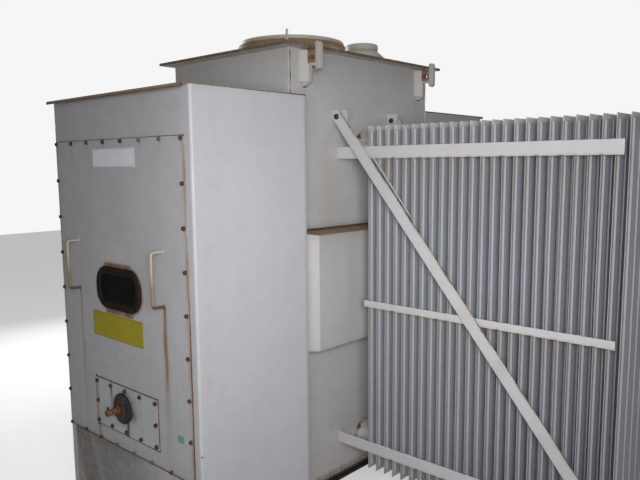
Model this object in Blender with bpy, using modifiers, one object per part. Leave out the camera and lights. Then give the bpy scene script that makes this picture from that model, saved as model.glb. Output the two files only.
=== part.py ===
"""Liquid-filled power transformer with a front terminal cabinet, a rear terminal chamber and a
bank of plate radiators on each side.

Metres, +Z up. X runs across the tank, with the right-hand bank at +X. Y runs from the front cabinet
(-Y) to the rear chamber (+Y). The origin is on the floor, in the middle of the outer dimensions.
"""

import math

import bmesh
import bpy
from mathutils import Matrix, Vector

# Clearances
SEAT_GAP = 0.0003
CUT_OVERRUN = 0.004

# Front cabinet
CABINET_WIDTH = 1.000
CABINET_DEPTH = 0.577
CABINET_HEIGHT = 1.900
CABINET_SHIFT = 0.028
SHEET = 0.004
CORNER_RADIUS = 0.011
FRONT_FLANGE = 0.045
REAR_FLANGE = 0.030
ROOF_OVERHANG = 0.030
ROOF_LIP = 0.013
CABINET_TO_TANK = 0.030

# Cover panel and what is on it
COVER_LEFT_MARGIN = 0.014
COVER_RIGHT_MARGIN = 0.037
COVER_HEIGHT = 1.300
COVER_BOTTOM = 0.424
COVER_LAP = 0.030
WINDOW_WIDTH = 0.330
WINDOW_HEIGHT = 0.178
WINDOW_RADIUS = 0.078
WINDOW_ABOVE_FLOOR = 1.116
GASKET_FACE = 0.031
GASKET_PROUD = 0.011
GLASS_THICKNESS = 0.005
TAG_WIDTH = 0.315
TAG_HEIGHT = 0.077
TAG_ABOVE_FLOOR = 1.6495
TAG_THICKNESS = 0.002
NOTICE_WIDTH = 0.381
NOTICE_HEIGHT = 0.107
NOTICE_ABOVE_FLOOR = 0.949
NOTICE_SHIFT = -0.024
HANDLE_SPACING = 0.636
HANDLE_HEIGHT = 0.209
HANDLE_ABOVE_FLOOR = 1.193
HANDLE_REACH = 0.050
HANDLE_ROD = 0.011
HANDLE_BEND = 0.012

# Switch operator under the window
OPERATOR_PLATE_WIDTH = 0.475
OPERATOR_PLATE_HEIGHT = 0.212
OPERATOR_ABOVE_FLOOR = 0.600
OPERATOR_SHIFT = 0.017
SPINDLE_RISE = 0.018
KNOB_RADIUS = 0.065
KNOB_CLEARANCE = 0.010
KNOB_RIM = 0.010
KNOB_CONE = 0.014
KNOB_FACE_RADIUS = 0.036
HUB_RADIUS = 0.024
HUB_LENGTH = 0.014
SPINDLE_RADIUS = 0.013
SPINDLE_CLEARANCE = 0.0006
SPINDLE_TAIL = 0.030
SPINDLE_REACH = 0.090

# Tank
TANK_WIDTH = 0.805
TANK_DEPTH = 1.035
TANK_TOP = 2.111
TANK_PLATE = 0.008
FLOOR_PLATE = 0.010
LID_THICKNESS = 0.012
LID_OVERHANG = 0.055
RAIL_HEIGHT = 0.100
RAIL_FLANGE = 0.050
RAIL_WEB = 0.006
RAIL_SPACING = 0.620

# Manhole and relief turret on the lid
MANHOLE_RADIUS = 0.261
MANHOLE_COVER = 0.019
COLLAR_RADIUS = 0.270
COLLAR_WALL = 0.020
COLLAR_HEIGHT = 0.080
MANHOLE_SHIFT = -0.0885
TURRET_BASE_RADIUS = 0.125
TURRET_BASE_HEIGHT = 0.082
TURRET_NECK_RADIUS = 0.086
TURRET_NECK_HEIGHT = 0.122
TURRET_CAP_RADIUS = 0.090
TURRET_CAP = 0.033
TURRET_SHIFT = 0.034
TURRET_REAR_INSET = 0.087

# Lifting lugs
LUG_INSET = 0.061
LUG_REAR_INSET = 0.109
LUG_BRACKET_REACH = 0.040
LUG_BRACKET_LEAN = 0.021
LUG_PLATE = 0.023
LUG_BOTTOM_DROP = 0.163
LUG_TAPER = 0.022
LUG_WEB_REACH = 0.075
LUG_WEB_BOTTOM_DROP = 0.075
LUG_WEB_TOP_DROP = 0.009
LUG_END_REACH = 0.101
LUG_END_BOTTOM_DROP = 0.097
LUG_END_TOP_RISE = 0.023
LUG_HOLE_RADIUS = 0.010

# Side pockets on the tank walls
POCKET_DEPTH = 0.087
POCKET_BOTTOM = 0.788
POCKET_BELOW_HEADER = 0.380
POCKET_FALL = 0.015

# Rear terminal chamber
CHAMBER_DEPTH = 0.600
CHAMBER_HEIGHT = 1.900
CHAMBER_COVER_MARGIN = 0.035

# Radiator banks
FIN_COUNT = 25
FIN_PITCH = 0.0462
FIRST_FIN = 0.5837
FIN_DEPTH = 0.376
BANK_SHIFT = -0.0155
FIN_BELOW_HEADER = 0.076
FIN_ABOVE_HEADER = 0.078
FIN_THICKNESS = 0.012
FIN_RIM = 0.003
FIN_RIM_DEPTH = 0.012
FIN_BEVEL = 0.009
HEADER_RADIUS = 0.040
HEADER_SIDES = 10
HEADER_REACH = 0.050
UPPER_HEADER = 1.706
LOWER_HEADER = 0.266
VALVE_FLANGE_RADIUS = 0.067
VALVE_FLANGE = 0.014
VALVE_PIPE_RADIUS = 0.048

# Bars that tie the radiator plates, and their straps
UPPER_BAR_DROP = 0.037
LOWER_BAR_RISE = 0.033
BAR_HEIGHT = 0.054
BAR_THICKNESS = 0.007
BAR_FOOT = 0.030
BAR_END_SHORT = 0.0155
MID_BAR_HEIGHT = 0.032
MID_BAR_CENTRE = 0.983
MID_BAR_BITE = 0.002
MID_BAR_START = 0.0155
STRAP_WIDTH = 0.052
STRAP_THICKNESS = 0.008
STRAP_TOP = 1.832
STRAP_TOP_REACH = 0.028
STRAP_END_RISE = 0.030
STRAP_WALL_CLEARANCE = 0.002
STRAP_FOOT_INSET = 0.002
STRAP_LUG_CENTRE = 1.827
STRAP_LUG_WIDTH = 0.060
STRAP_LUG_HEIGHT = 0.074
STRAP_LUG_PLATE = 0.008
STRAP_LUG_STANDOFF = 0.024

# Roundness of turned pieces
FINE_SIDES = 48
ROUND_SIDES = 32
PIPE_SIDES = 16
BEND_STEPS = 4
CORNER_STEPS = 8

# Colours: linear red, green and blue, then roughness and metallic
PAINT = ((0.46, 0.47, 0.49), 0.5, 0.0)
PALE_PAINT = ((0.62, 0.62, 0.60), 0.5, 0.0)
RADIATOR_PAINT = ((0.50, 0.52, 0.53), 0.45, 0.1)
RUSTED = ((0.20, 0.09, 0.04), 0.85, 0.2)
BLACK_RUBBER = ((0.02, 0.017, 0.015), 0.7, 0.0)
DARK_GLASS = ((0.01, 0.011, 0.012), 0.1, 0.0)
WHITE_PLATE = ((0.64, 0.62, 0.68), 0.4, 0.0)
YELLOW_PLATE = ((0.45, 0.38, 0.02), 0.45, 0.0)
DARK_STEEL = ((0.08, 0.075, 0.07), 0.7, 0.5)

# Worked-out places, from the cabinet's front face
tank_front = CABINET_DEPTH + CABINET_TO_TANK
tank_rear = tank_front + TANK_DEPTH
tank_middle = tank_front + TANK_DEPTH / 2
chamber_front = tank_rear + SEAT_GAP
chamber_rear = chamber_front + CHAMBER_DEPTH
cover_front = -SEAT_GAP - SHEET
plate_front = cover_front - SEAT_GAP - SHEET
front_end = plate_front - SPINDLE_REACH
rear_end = chamber_rear + ROOF_OVERHANG
origin_y = (front_end + rear_end) / 2

half_tank = TANK_WIDTH / 2
floor_bottom = RAIL_HEIGHT + SEAT_GAP
wall_bottom = floor_bottom + FLOOR_PLATE + SEAT_GAP
lug_bottom = TANK_TOP - LUG_BOTTOM_DROP
lug_web_bottom = TANK_TOP - LUG_WEB_BOTTOM_DROP
lug_web_top = TANK_TOP - LUG_WEB_TOP_DROP
lug_end_bottom = TANK_TOP - LUG_END_BOTTOM_DROP
lug_end_top = TANK_TOP + LUG_END_TOP_RISE
lid_bottom = TANK_TOP + SEAT_GAP
lid_top = lid_bottom + LID_THICKNESS
collar_top = lid_top + COLLAR_HEIGHT
cover_width = CABINET_WIDTH - COVER_LEFT_MARGIN - COVER_RIGHT_MARGIN
cover_centre_x = CABINET_SHIFT + (COVER_LEFT_MARGIN - COVER_RIGHT_MARGIN) / 2
operator_x = cover_centre_x + OPERATOR_SHIFT
spindle_z = OPERATOR_ABOVE_FLOOR + SPINDLE_RISE
roof_bottom = CABINET_HEIGHT - SHEET
sheet_top = roof_bottom - SEAT_GAP
cover_top = COVER_BOTTOM + COVER_HEIGHT
pocket_top = UPPER_HEADER - POCKET_BELOW_HEADER
fin_bottom = LOWER_HEADER - FIN_BELOW_HEADER
fin_top = UPPER_HEADER + FIN_ABOVE_HEADER
upper_bar = UPPER_HEADER - UPPER_BAR_DROP
lower_bar = LOWER_HEADER + LOWER_BAR_RISE
bank_middle = tank_middle + BANK_SHIFT
fins_front = bank_middle - FIN_DEPTH / 2
fins_rear = bank_middle + FIN_DEPTH / 2
last_fin = FIRST_FIN + (FIN_COUNT - 1) * FIN_PITCH
bank_inner = FIRST_FIN - FIN_THICKNESS / 2
bank_outer = last_fin + FIN_THICKNESS / 2
bar_end = last_fin - BAR_END_SHORT


def collection(name):
    made = bpy.data.collections.new(name)
    bpy.context.scene.collection.children.link(made)
    return made


def clear_scene():
    for old in list(bpy.data.objects):
        bpy.data.objects.remove(old, do_unlink=True)


clear_scene()
PARTS = collection("power_transformer")
CUTTERS = collection("cutters")


def material(name, finish):
    colour, roughness, metallic = finish
    made = bpy.data.materials.new(name)
    made.use_nodes = True
    shader = made.node_tree.nodes["Principled BSDF"]
    shader.inputs["Base Color"].default_value = (*colour, 1.0)
    shader.inputs["Roughness"].default_value = roughness
    shader.inputs["Metallic"].default_value = metallic
    return made


def from_front(y):
    """A distance behind the cabinet's front face, as a world Y."""
    return y - origin_y


def add_object(name, data, finish):
    made = bpy.data.objects.new(name, data)
    PARTS.objects.link(made)
    made.data.materials.append(material(name, finish))
    return made


def box_mesh(name, low, high):
    size = [b - a for a, b in zip(low, high)]
    middle = [(a + b) / 2 for a, b in zip(low, high)]
    shape = bmesh.new()
    placed = Matrix.Translation(middle) @ Matrix.Diagonal((*size, 1.0))
    bmesh.ops.create_cube(shape, size=1.0, matrix=placed)
    mesh = bpy.data.meshes.new(name)
    shape.to_mesh(mesh)
    shape.free()
    return mesh


def add_box(name, low, high, finish):
    return add_object(name, box_mesh(name, low, high), finish)


def add_cutter(name, mesh):
    made = bpy.data.objects.new(name, mesh)
    CUTTERS.objects.link(made)
    made.hide_render = True
    made.display_type = "WIRE"
    return made


def combine(target, other, operation):
    step = target.modifiers.new(other.name, "BOOLEAN")
    step.operation = operation
    step.solver = "EXACT"
    step.object = other


def outline_curve(name, outlines, thickness):
    """A flat plate in the local XY plane, centred on it, with any further outlines as holes."""
    curve = bpy.data.curves.new(name, "CURVE")
    curve.dimensions = "2D"
    curve.fill_mode = "BOTH"
    curve.extrude = thickness / 2
    for points in outlines:
        spline = curve.splines.new("POLY")
        spline.points.add(len(points) - 1)
        for point, (u, v) in zip(spline.points, points):
            point.co = (u, v, 0.0, 1.0)
        spline.use_cyclic_u = True
    return curve


# Turns of a plate's local axes: across the front, or through the side
FACING_FRONT = Matrix.Rotation(math.radians(90.0), 4, "X")
FACING_SIDE = Matrix.Rotation(math.radians(90.0), 4, "Z") @ FACING_FRONT
FLAT = Matrix.Identity(4)


def add_plate(name, outlines, thickness, turn, place, finish):
    made = add_object(name, outline_curve(name, outlines, thickness), finish)
    made.matrix_world = Matrix.Translation(place) @ turn
    return made


def plate_mesh(name, outlines, thickness, turn, place):
    """The same plate as a welded mesh in world space, for cutting and joining."""
    curve = bpy.data.objects.new(name, outline_curve(name, outlines, thickness))
    CUTTERS.objects.link(curve)
    curve.matrix_world = Matrix.Translation(place) @ turn
    bpy.context.view_layer.update()
    evaluated = curve.evaluated_get(bpy.context.evaluated_depsgraph_get())
    mesh = bpy.data.meshes.new_from_object(evaluated)
    mesh.transform(curve.matrix_world)
    shape = bmesh.new()
    shape.from_mesh(mesh)
    bmesh.ops.remove_doubles(shape, verts=shape.verts, dist=SEAT_GAP / 10)
    shape.to_mesh(mesh)
    shape.free()
    bpy.data.objects.remove(curve, do_unlink=True)
    return mesh


def rectangle(left, bottom, right, top):
    return [(left, bottom), (right, bottom), (right, top), (left, top)]


def centred_rectangle(u, v, width, height):
    return rectangle(u - width / 2, v - height / 2, u + width / 2, v + height / 2)


def arc(centre, radius, start, end, steps):
    points = []
    for step in range(steps + 1):
        angle = math.radians(start + (end - start) * step / steps)
        points.append((centre[0] + radius * math.cos(angle), centre[1] + radius * math.sin(angle)))
    return points


def rounded_rectangle(u, v, width, height, radius):
    points = []
    for quarter, (side_u, side_v) in enumerate(((1, 1), (-1, 1), (-1, -1), (1, -1))):
        centre = (u + side_u * (width / 2 - radius), v + side_v * (height / 2 - radius))
        points += arc(centre, radius, 90.0 * quarter, 90.0 * quarter + 90.0, CORNER_STEPS)
    return points


def circle(u, v, radius, sides):
    return arc((u, v), radius, 0.0, 360.0, sides)[:-1]


def turned_mesh(name, profile, sides):
    """A closed solid turned about the local Z axis. The profile runs down the outer side."""
    mesh = bpy.data.meshes.new(name)
    shape = bmesh.new()
    corners = [shape.verts.new((radius, 0.0, height)) for radius, height in profile]
    for first, second in zip(corners, corners[1:]):
        shape.edges.new((first, second))
    shape.to_mesh(mesh)
    shape.free()
    return mesh


def add_turned(name, profile, sides, finish):
    made = add_object(name, turned_mesh(name, profile, sides), finish)
    screw = made.modifiers.new("turn", "SCREW")
    screw.axis = "Z"
    screw.steps = sides
    screw.render_steps = sides
    screw.use_merge_vertices = True
    screw.merge_threshold = SEAT_GAP / 10
    screw.use_smooth_shade = True
    return made


def along(axis, place):
    """Places a turned piece with its local Z on the given direction."""
    return Matrix.Translation(place) @ Vector(axis).to_track_quat("Z", "X").to_matrix().to_4x4()


def mirrored(x, side):
    return x * side


def span(side, near, far):
    """Low and high X of a stretch given by its distances from the middle, on one side."""
    ends = (mirrored(near, side), mirrored(far, side))
    return min(ends), max(ends)


SIDES = (("right", 1), ("left", -1))


# Skid rails


def make_rails():
    web = RAIL_WEB
    outline = [
        (0.0, 0.0),
        (RAIL_FLANGE, 0.0),
        (RAIL_FLANGE, web),
        (web, web),
        (web, RAIL_HEIGHT - web),
        (RAIL_FLANGE, RAIL_HEIGHT - web),
        (RAIL_FLANGE, RAIL_HEIGHT),
        (0.0, RAIL_HEIGHT),
    ]
    for word, side in SIDES:
        turned_outline = [(mirrored(u - RAIL_FLANGE, side), v) for u, v in outline]
        place = (mirrored(RAIL_SPACING / 2, side), from_front(tank_middle), 0.0)
        add_plate(f"skid_rail_{word}", [turned_outline], TANK_DEPTH, FACING_FRONT, place, DARK_STEEL)


# Tank


def strap_lug_box(name, side, start):
    low_x, high_x = span(side, half_tank - TANK_PLATE / 2, half_tank + STRAP_LUG_WIDTH)
    middle = STRAP_LUG_CENTRE
    low = (low_x, from_front(start), middle - STRAP_LUG_HEIGHT / 2)
    high = (high_x, from_front(start + STRAP_LUG_PLATE), middle + STRAP_LUG_HEIGHT / 2)
    return add_cutter(name, box_mesh(name, low, high))


# The strap lugs stand outside the planes of the tie bars
bar_front = fins_front - SEAT_GAP - BAR_THICKNESS
bar_rear = fins_rear + SEAT_GAP + BAR_THICKNESS
front_lug_face = bar_front - STRAP_LUG_STANDOFF
rear_lug_face = bar_rear + STRAP_LUG_STANDOFF


def make_tank():
    left, right = -half_tank, half_tank
    front, rear = from_front(tank_front), from_front(tank_rear)
    add_box(
        "tank_floor",
        (left, front, floor_bottom),
        (right, rear, floor_bottom + FLOOR_PLATE),
        DARK_STEEL,
    )
    add_box(
        "tank_front_wall",
        (left, front, wall_bottom),
        (right, front + TANK_PLATE, TANK_TOP),
        PAINT,
    )
    add_box(
        "tank_rear_wall",
        (left, rear - TANK_PLATE, wall_bottom),
        (right, rear, TANK_TOP),
        PAINT,
    )
    inner_front = front + TANK_PLATE + SEAT_GAP
    inner_rear = rear - TANK_PLATE - SEAT_GAP
    for word, side in SIDES:
        low_x, high_x = span(side, half_tank - TANK_PLATE, half_tank)
        wall = add_box(
            f"tank_{word}_wall",
            (low_x, inner_front, wall_bottom),
            (high_x, inner_rear, TANK_TOP),
            PAINT,
        )
        front_lug = strap_lug_box(f"front_strap_lug_{word}", side, front_lug_face)
        rear_start = rear_lug_face - STRAP_LUG_PLATE
        rear_lug = strap_lug_box(f"rear_strap_lug_{word}", side, rear_start)
        combine(wall, front_lug, "UNION")
        combine(wall, rear_lug, "UNION")


def make_lid():
    edge_x = half_tank + LID_OVERHANG
    edge_y = TANK_DEPTH / 2 + LID_OVERHANG
    opening = COLLAR_RADIUS - COLLAR_WALL
    plate = [
        rectangle(-edge_x, -edge_y, edge_x, edge_y),
        circle(0.0, MANHOLE_SHIFT, opening, FINE_SIDES),
    ]
    place = (0.0, from_front(tank_middle), lid_bottom + LID_THICKNESS / 2)
    add_plate("tank_lid", plate, LID_THICKNESS, FLAT, place, PAINT)
    height = COLLAR_HEIGHT - SEAT_GAP
    ring = [
        circle(0.0, 0.0, COLLAR_RADIUS, FINE_SIDES),
        circle(0.0, 0.0, opening, FINE_SIDES),
    ]
    place = (0.0, from_front(tank_middle + MANHOLE_SHIFT), collar_top - height / 2)
    add_plate("manhole_collar", ring, height, FLAT, place, PALE_PAINT)


def make_manhole_cover():
    bottom = collar_top + SEAT_GAP
    profile = [
        (0.0, MANHOLE_COVER),
        (MANHOLE_RADIUS, MANHOLE_COVER),
        (MANHOLE_RADIUS, 0.0),
        (0.0, 0.0),
    ]
    cover = add_turned("manhole_cover", profile, FINE_SIDES, PALE_PAINT)
    cover.location = (0.0, from_front(tank_middle + MANHOLE_SHIFT), bottom)


def make_turret():
    top = TURRET_NECK_HEIGHT + TURRET_CAP
    profile = [
        (0.0, top),
        (TURRET_CAP_RADIUS, top),
        (TURRET_CAP_RADIUS, TURRET_NECK_HEIGHT),
        (TURRET_NECK_RADIUS, TURRET_NECK_HEIGHT),
        (TURRET_BASE_RADIUS, TURRET_BASE_HEIGHT),
        (TURRET_BASE_RADIUS, 0.0),
        (0.0, 0.0),
    ]
    turret = add_turned("relief_turret", profile, ROUND_SIDES, PALE_PAINT)
    middle_y = from_front(tank_rear - TURRET_REAR_INSET)
    turret.location = (TURRET_SHIFT, middle_y, lid_top + SEAT_GAP)


# Lifting lugs: a leaning bracket on the wall and a plate with a tall end


def lug_plate_outline(side):
    inner = half_tank + SEAT_GAP
    web = half_tank + LUG_WEB_REACH
    end = half_tank + LUG_END_REACH
    shoulder = half_tank + LUG_BRACKET_REACH
    radius = (LUG_END_REACH - LUG_WEB_REACH) / 2
    middle = (web + end) / 2
    points = [(inner, lug_bottom), (shoulder, lug_bottom + LUG_TAPER), (shoulder, lug_web_bottom)]
    points += [(web, lug_web_bottom)]
    points += arc((middle, lug_end_bottom + radius), radius, 180.0, 360.0, BEND_STEPS)
    points += arc((middle, lug_end_top - radius), radius, 0.0, 180.0, BEND_STEPS)
    points += [(web, lug_web_top), (inner, lug_web_top)]
    return [(mirrored(u, side), v) for u, v in points]


def make_lug(word, side, start):
    hole_x = mirrored(half_tank + (LUG_BRACKET_REACH + LUG_WEB_REACH) / 2, side)
    hole_z = (lug_web_bottom + lug_web_top) / 2
    plate_start = start + LUG_BRACKET_LEAN
    plate = plate_mesh(
        word,
        [lug_plate_outline(side), circle(hole_x, hole_z, LUG_HOLE_RADIUS, PIPE_SIDES)],
        LUG_PLATE,
        FACING_FRONT,
        (0.0, from_front(plate_start + LUG_PLATE / 2), 0.0),
    )
    lug = add_object(word, plate, PAINT)
    bite = LUG_PLATE / 2
    inner = half_tank + SEAT_GAP
    outer = half_tank + LUG_BRACKET_REACH
    lean = [(inner, 0.0), (outer, LUG_BRACKET_LEAN), (outer, LUG_BRACKET_LEAN + bite)]
    lean += [(inner, LUG_BRACKET_LEAN + bite)]
    height = lug_web_top - lug_bottom - LUG_TAPER
    bracket = plate_mesh(
        f"{word}_bracket",
        [[(mirrored(u, side), v) for u, v in lean]],
        height,
        FLAT,
        (0.0, from_front(start), lug_bottom + LUG_TAPER + height / 2),
    )
    combine(lug, add_cutter(f"{word}_bracket", bracket), "UNION")


def make_lugs():
    for word, side in SIDES:
        make_lug(f"lifting_lug_front_{word}", side, tank_front + LUG_INSET)
        make_lug(f"lifting_lug_rear_{word}", side, tank_rear - LUG_REAR_INSET)


# Side pockets: boxes whose outer face is smaller by the pocket's depth at each end


def make_pockets():
    for word, side in SIDES:
        low_x, high_x = span(side, half_tank + SEAT_GAP, half_tank + POCKET_DEPTH)
        low = (low_x, from_front(tank_front), POCKET_BOTTOM)
        high = (high_x, from_front(tank_rear), pocket_top)
        name = f"side_pocket_{word}"
        mesh = box_mesh(name, low, high)
        outer = mirrored(half_tank + POCKET_DEPTH, side)
        middle = from_front(tank_middle)
        for corner in mesh.vertices:
            if abs(corner.co.x - outer) < SEAT_GAP:
                corner.co.y += math.copysign(POCKET_DEPTH, middle - corner.co.y)
                if corner.co.z > pocket_top - SEAT_GAP:
                    corner.co.z -= POCKET_FALL
        add_object(name, mesh, PAINT)


# Rear terminal chamber


def roof_outline(front, rear, top, lip):
    """The section of a roof sheet whose front edge is folded down."""
    return [
        (front, top - lip),
        (front + SHEET, top - lip),
        (front + SHEET, top - SHEET),
        (rear, top - SHEET),
        (rear, top),
        (front, top),
    ]


def make_chamber():
    front, rear = from_front(chamber_front), from_front(chamber_rear)
    top = CHAMBER_HEIGHT - SHEET - SEAT_GAP
    add_box("rear_chamber", (-half_tank, front, 0.0), (half_tank, rear, top), PAINT)
    section = roof_outline(-rear - ROOF_OVERHANG, -front, CHAMBER_HEIGHT, ROOF_LIP)
    facing_back = [(-u, v) for u, v in section]
    add_plate("rear_chamber_roof", [facing_back], TANK_WIDTH, FACING_SIDE, (0.0, 0.0, 0.0), PAINT)
    margin = CHAMBER_COVER_MARGIN
    low = (-half_tank + margin, rear + SEAT_GAP, COVER_BOTTOM)
    high = (half_tank - margin, rear + SEAT_GAP + SHEET, cover_top)
    add_box("rear_chamber_cover", low, high, PAINT)


# Front cabinet


def side_sheet_outline(side):
    """Plan of a side sheet: a front flange, a rounded corner, the side and a rear flange."""
    half = CABINET_WIDTH / 2
    radius = CORNER_RADIUS
    inner_radius = radius - SHEET
    corner = (half - radius, radius)
    points = [(half - FRONT_FLANGE, 0.0)]
    points += arc(corner, radius, 270.0, 360.0, BEND_STEPS)
    points += [(half, CABINET_DEPTH), (half - REAR_FLANGE, CABINET_DEPTH)]
    points += [(half - REAR_FLANGE, CABINET_DEPTH - SHEET), (half - SHEET, CABINET_DEPTH - SHEET)]
    points += arc(corner, inner_radius, 360.0, 270.0, BEND_STEPS)
    points += [(half - FRONT_FLANGE, SHEET)]
    return [(mirrored(u, side), v) for u, v in points]


def make_cabinet():
    middle_z = sheet_top / 2
    for word, side in SIDES:
        place = (CABINET_SHIFT, from_front(0.0), middle_z)
        outline = side_sheet_outline(side)
        add_plate(f"cabinet_{word}_side", [outline], sheet_top, FLAT, place, PAINT)
    inside = CABINET_WIDTH / 2 - FRONT_FLANGE - SEAT_GAP
    front_y = from_front(0.0)
    back_y = from_front(SHEET)
    left, right = CABINET_SHIFT - inside, CABINET_SHIFT + inside
    add_box(
        "cabinet_fascia",
        (left, front_y, cover_top - COVER_LAP),
        (right, back_y, sheet_top),
        PAINT,
    )
    add_box(
        "cabinet_skirt",
        (left, front_y, 0.0),
        (right, back_y, COVER_BOTTOM + COVER_LAP),
        PAINT,
    )
    rear_inside = CABINET_WIDTH / 2 - REAR_FLANGE - SEAT_GAP
    add_box(
        "cabinet_back",
        (CABINET_SHIFT - rear_inside, from_front(CABINET_DEPTH - SHEET), 0.0),
        (CABINET_SHIFT + rear_inside, from_front(CABINET_DEPTH), sheet_top),
        PAINT,
    )
    section = roof_outline(
        from_front(-ROOF_OVERHANG), from_front(CABINET_DEPTH), CABINET_HEIGHT, ROOF_LIP
    )
    place = (CABINET_SHIFT, 0.0, 0.0)
    add_plate("cabinet_roof", [section], CABINET_WIDTH, FACING_SIDE, place, PAINT)


def make_throat():
    """The short closed duct between the cabinet's back and the tank."""
    half = half_tank - LID_OVERHANG
    add_box(
        "throat_duct",
        (-half, from_front(CABINET_DEPTH) + SEAT_GAP, COVER_BOTTOM),
        (half, from_front(tank_front) - SEAT_GAP, cover_top),
        PAINT,
    )


# Cover panel, window, plates and handles


def window_outline(margin):
    return rounded_rectangle(
        cover_centre_x,
        WINDOW_ABOVE_FLOOR,
        WINDOW_WIDTH - 2 * margin,
        WINDOW_HEIGHT - 2 * margin,
        WINDOW_RADIUS - margin,
    )


def front_plate(name, outlines, front, thickness, finish):
    place = (0.0, from_front(front + thickness / 2), 0.0)
    return add_plate(name, outlines, thickness, FACING_FRONT, place, finish)


def spindle_hole():
    return circle(operator_x, spindle_z, SPINDLE_RADIUS + SPINDLE_CLEARANCE, ROUND_SIDES)


def make_cover():
    panel = rectangle(
        cover_centre_x - cover_width / 2,
        COVER_BOTTOM,
        cover_centre_x + cover_width / 2,
        cover_top,
    )
    openings = [window_outline(GASKET_FACE), spindle_hole()]
    front_plate("cover_panel", [panel, *openings], cover_front, SHEET, PAINT)


def make_window():
    gasket_front = cover_front - SEAT_GAP - GASKET_PROUD
    rings = [window_outline(0.0), window_outline(GASKET_FACE)]
    front_plate("window_gasket", rings, gasket_front, GASKET_PROUD, BLACK_RUBBER)
    glass_front = cover_front - SEAT_GAP - GLASS_THICKNESS
    pane = [window_outline(GASKET_FACE + SEAT_GAP)]
    front_plate("window_glass", pane, glass_front, GLASS_THICKNESS, DARK_GLASS)


def make_plates():
    tag = centred_rectangle(cover_centre_x, TAG_ABOVE_FLOOR, TAG_WIDTH, TAG_HEIGHT)
    front = cover_front - SEAT_GAP - TAG_THICKNESS
    front_plate("tag_plate", [tag], front, TAG_THICKNESS, WHITE_PLATE)
    notice_x = cover_centre_x + NOTICE_SHIFT
    notice = centred_rectangle(notice_x, NOTICE_ABOVE_FLOOR, NOTICE_WIDTH, NOTICE_HEIGHT)
    front_plate("notice_plate", [notice], front, TAG_THICKNESS, YELLOW_PLATE)
    operator = centred_rectangle(
        operator_x, OPERATOR_ABOVE_FLOOR, OPERATOR_PLATE_WIDTH, OPERATOR_PLATE_HEIGHT
    )
    front_plate("operator_plate", [operator, spindle_hole()], plate_front, SHEET, PAINT)


def make_handle(name, x):
    """A rod bent to a U, welded to the panel by its two ends."""
    foot = from_front(cover_front - SEAT_GAP)
    outside = foot - HANDLE_REACH
    low = HANDLE_ABOVE_FLOOR - HANDLE_HEIGHT / 2
    high = HANDLE_ABOVE_FLOOR + HANDLE_HEIGHT / 2
    bend = HANDLE_BEND
    route = [(foot, high)]
    route += arc((outside + bend, high - bend), bend, 90.0, 180.0, BEND_STEPS)
    route += arc((outside + bend, low + bend), bend, 180.0, 270.0, BEND_STEPS)
    route += [(foot, low)]
    curve = bpy.data.curves.new(name, "CURVE")
    curve.dimensions = "3D"
    curve.bevel_depth = HANDLE_ROD / 2
    curve.bevel_resolution = 2
    curve.use_fill_caps = True
    spline = curve.splines.new("POLY")
    spline.points.add(len(route) - 1)
    for point, (y, z) in zip(spline.points, route):
        point.co = (x, y, z, 1.0)
    add_object(name, curve, PALE_PAINT)


def make_handles():
    for word, side in SIDES:
        make_handle(f"handle_{word}", cover_centre_x + mirrored(HANDLE_SPACING / 2, side))


def make_operator():
    """The switch knob and its spindle, turned about the axis that points out of the cabinet."""
    knob_start = KNOB_CLEARANCE
    rim_end = knob_start + KNOB_RIM
    knob_end = rim_end + KNOB_CONE
    hub_end = knob_end + HUB_LENGTH
    profile = [
        (0.0, SPINDLE_REACH),
        (SPINDLE_RADIUS, SPINDLE_REACH),
        (SPINDLE_RADIUS, hub_end),
        (HUB_RADIUS, hub_end),
        (HUB_RADIUS, knob_end),
        (KNOB_FACE_RADIUS, knob_end),
        (KNOB_RADIUS, rim_end),
        (KNOB_RADIUS, knob_start),
        (SPINDLE_RADIUS, knob_start),
        (SPINDLE_RADIUS, -SPINDLE_TAIL),
        (0.0, -SPINDLE_TAIL),
    ]
    knob = add_turned("operator_knob", profile, ROUND_SIDES, RUSTED)
    knob.matrix_world = along((0.0, -1.0, 0.0), (operator_x, from_front(plate_front), spindle_z))


# Radiator banks


def fin_outline(x):
    """Plan of one plate: a thin welded rim all round and a thicker pressed middle."""
    front, rear = from_front(fins_front), from_front(fins_rear)
    rim, thick = FIN_RIM / 2, FIN_THICKNESS / 2
    rim_end, bevel_end = FIN_RIM_DEPTH, FIN_RIM_DEPTH + FIN_BEVEL
    near = [(rim, front), (rim, front + rim_end), (thick, front + bevel_end)]
    far = [(thick, rear - bevel_end), (rim, rear - rim_end), (rim, rear)]
    outer_side = near + far
    inner_side = [(-u, v) for u, v in reversed(outer_side)]
    return [(x + u, v) for u, v in outer_side + inner_side]


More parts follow.
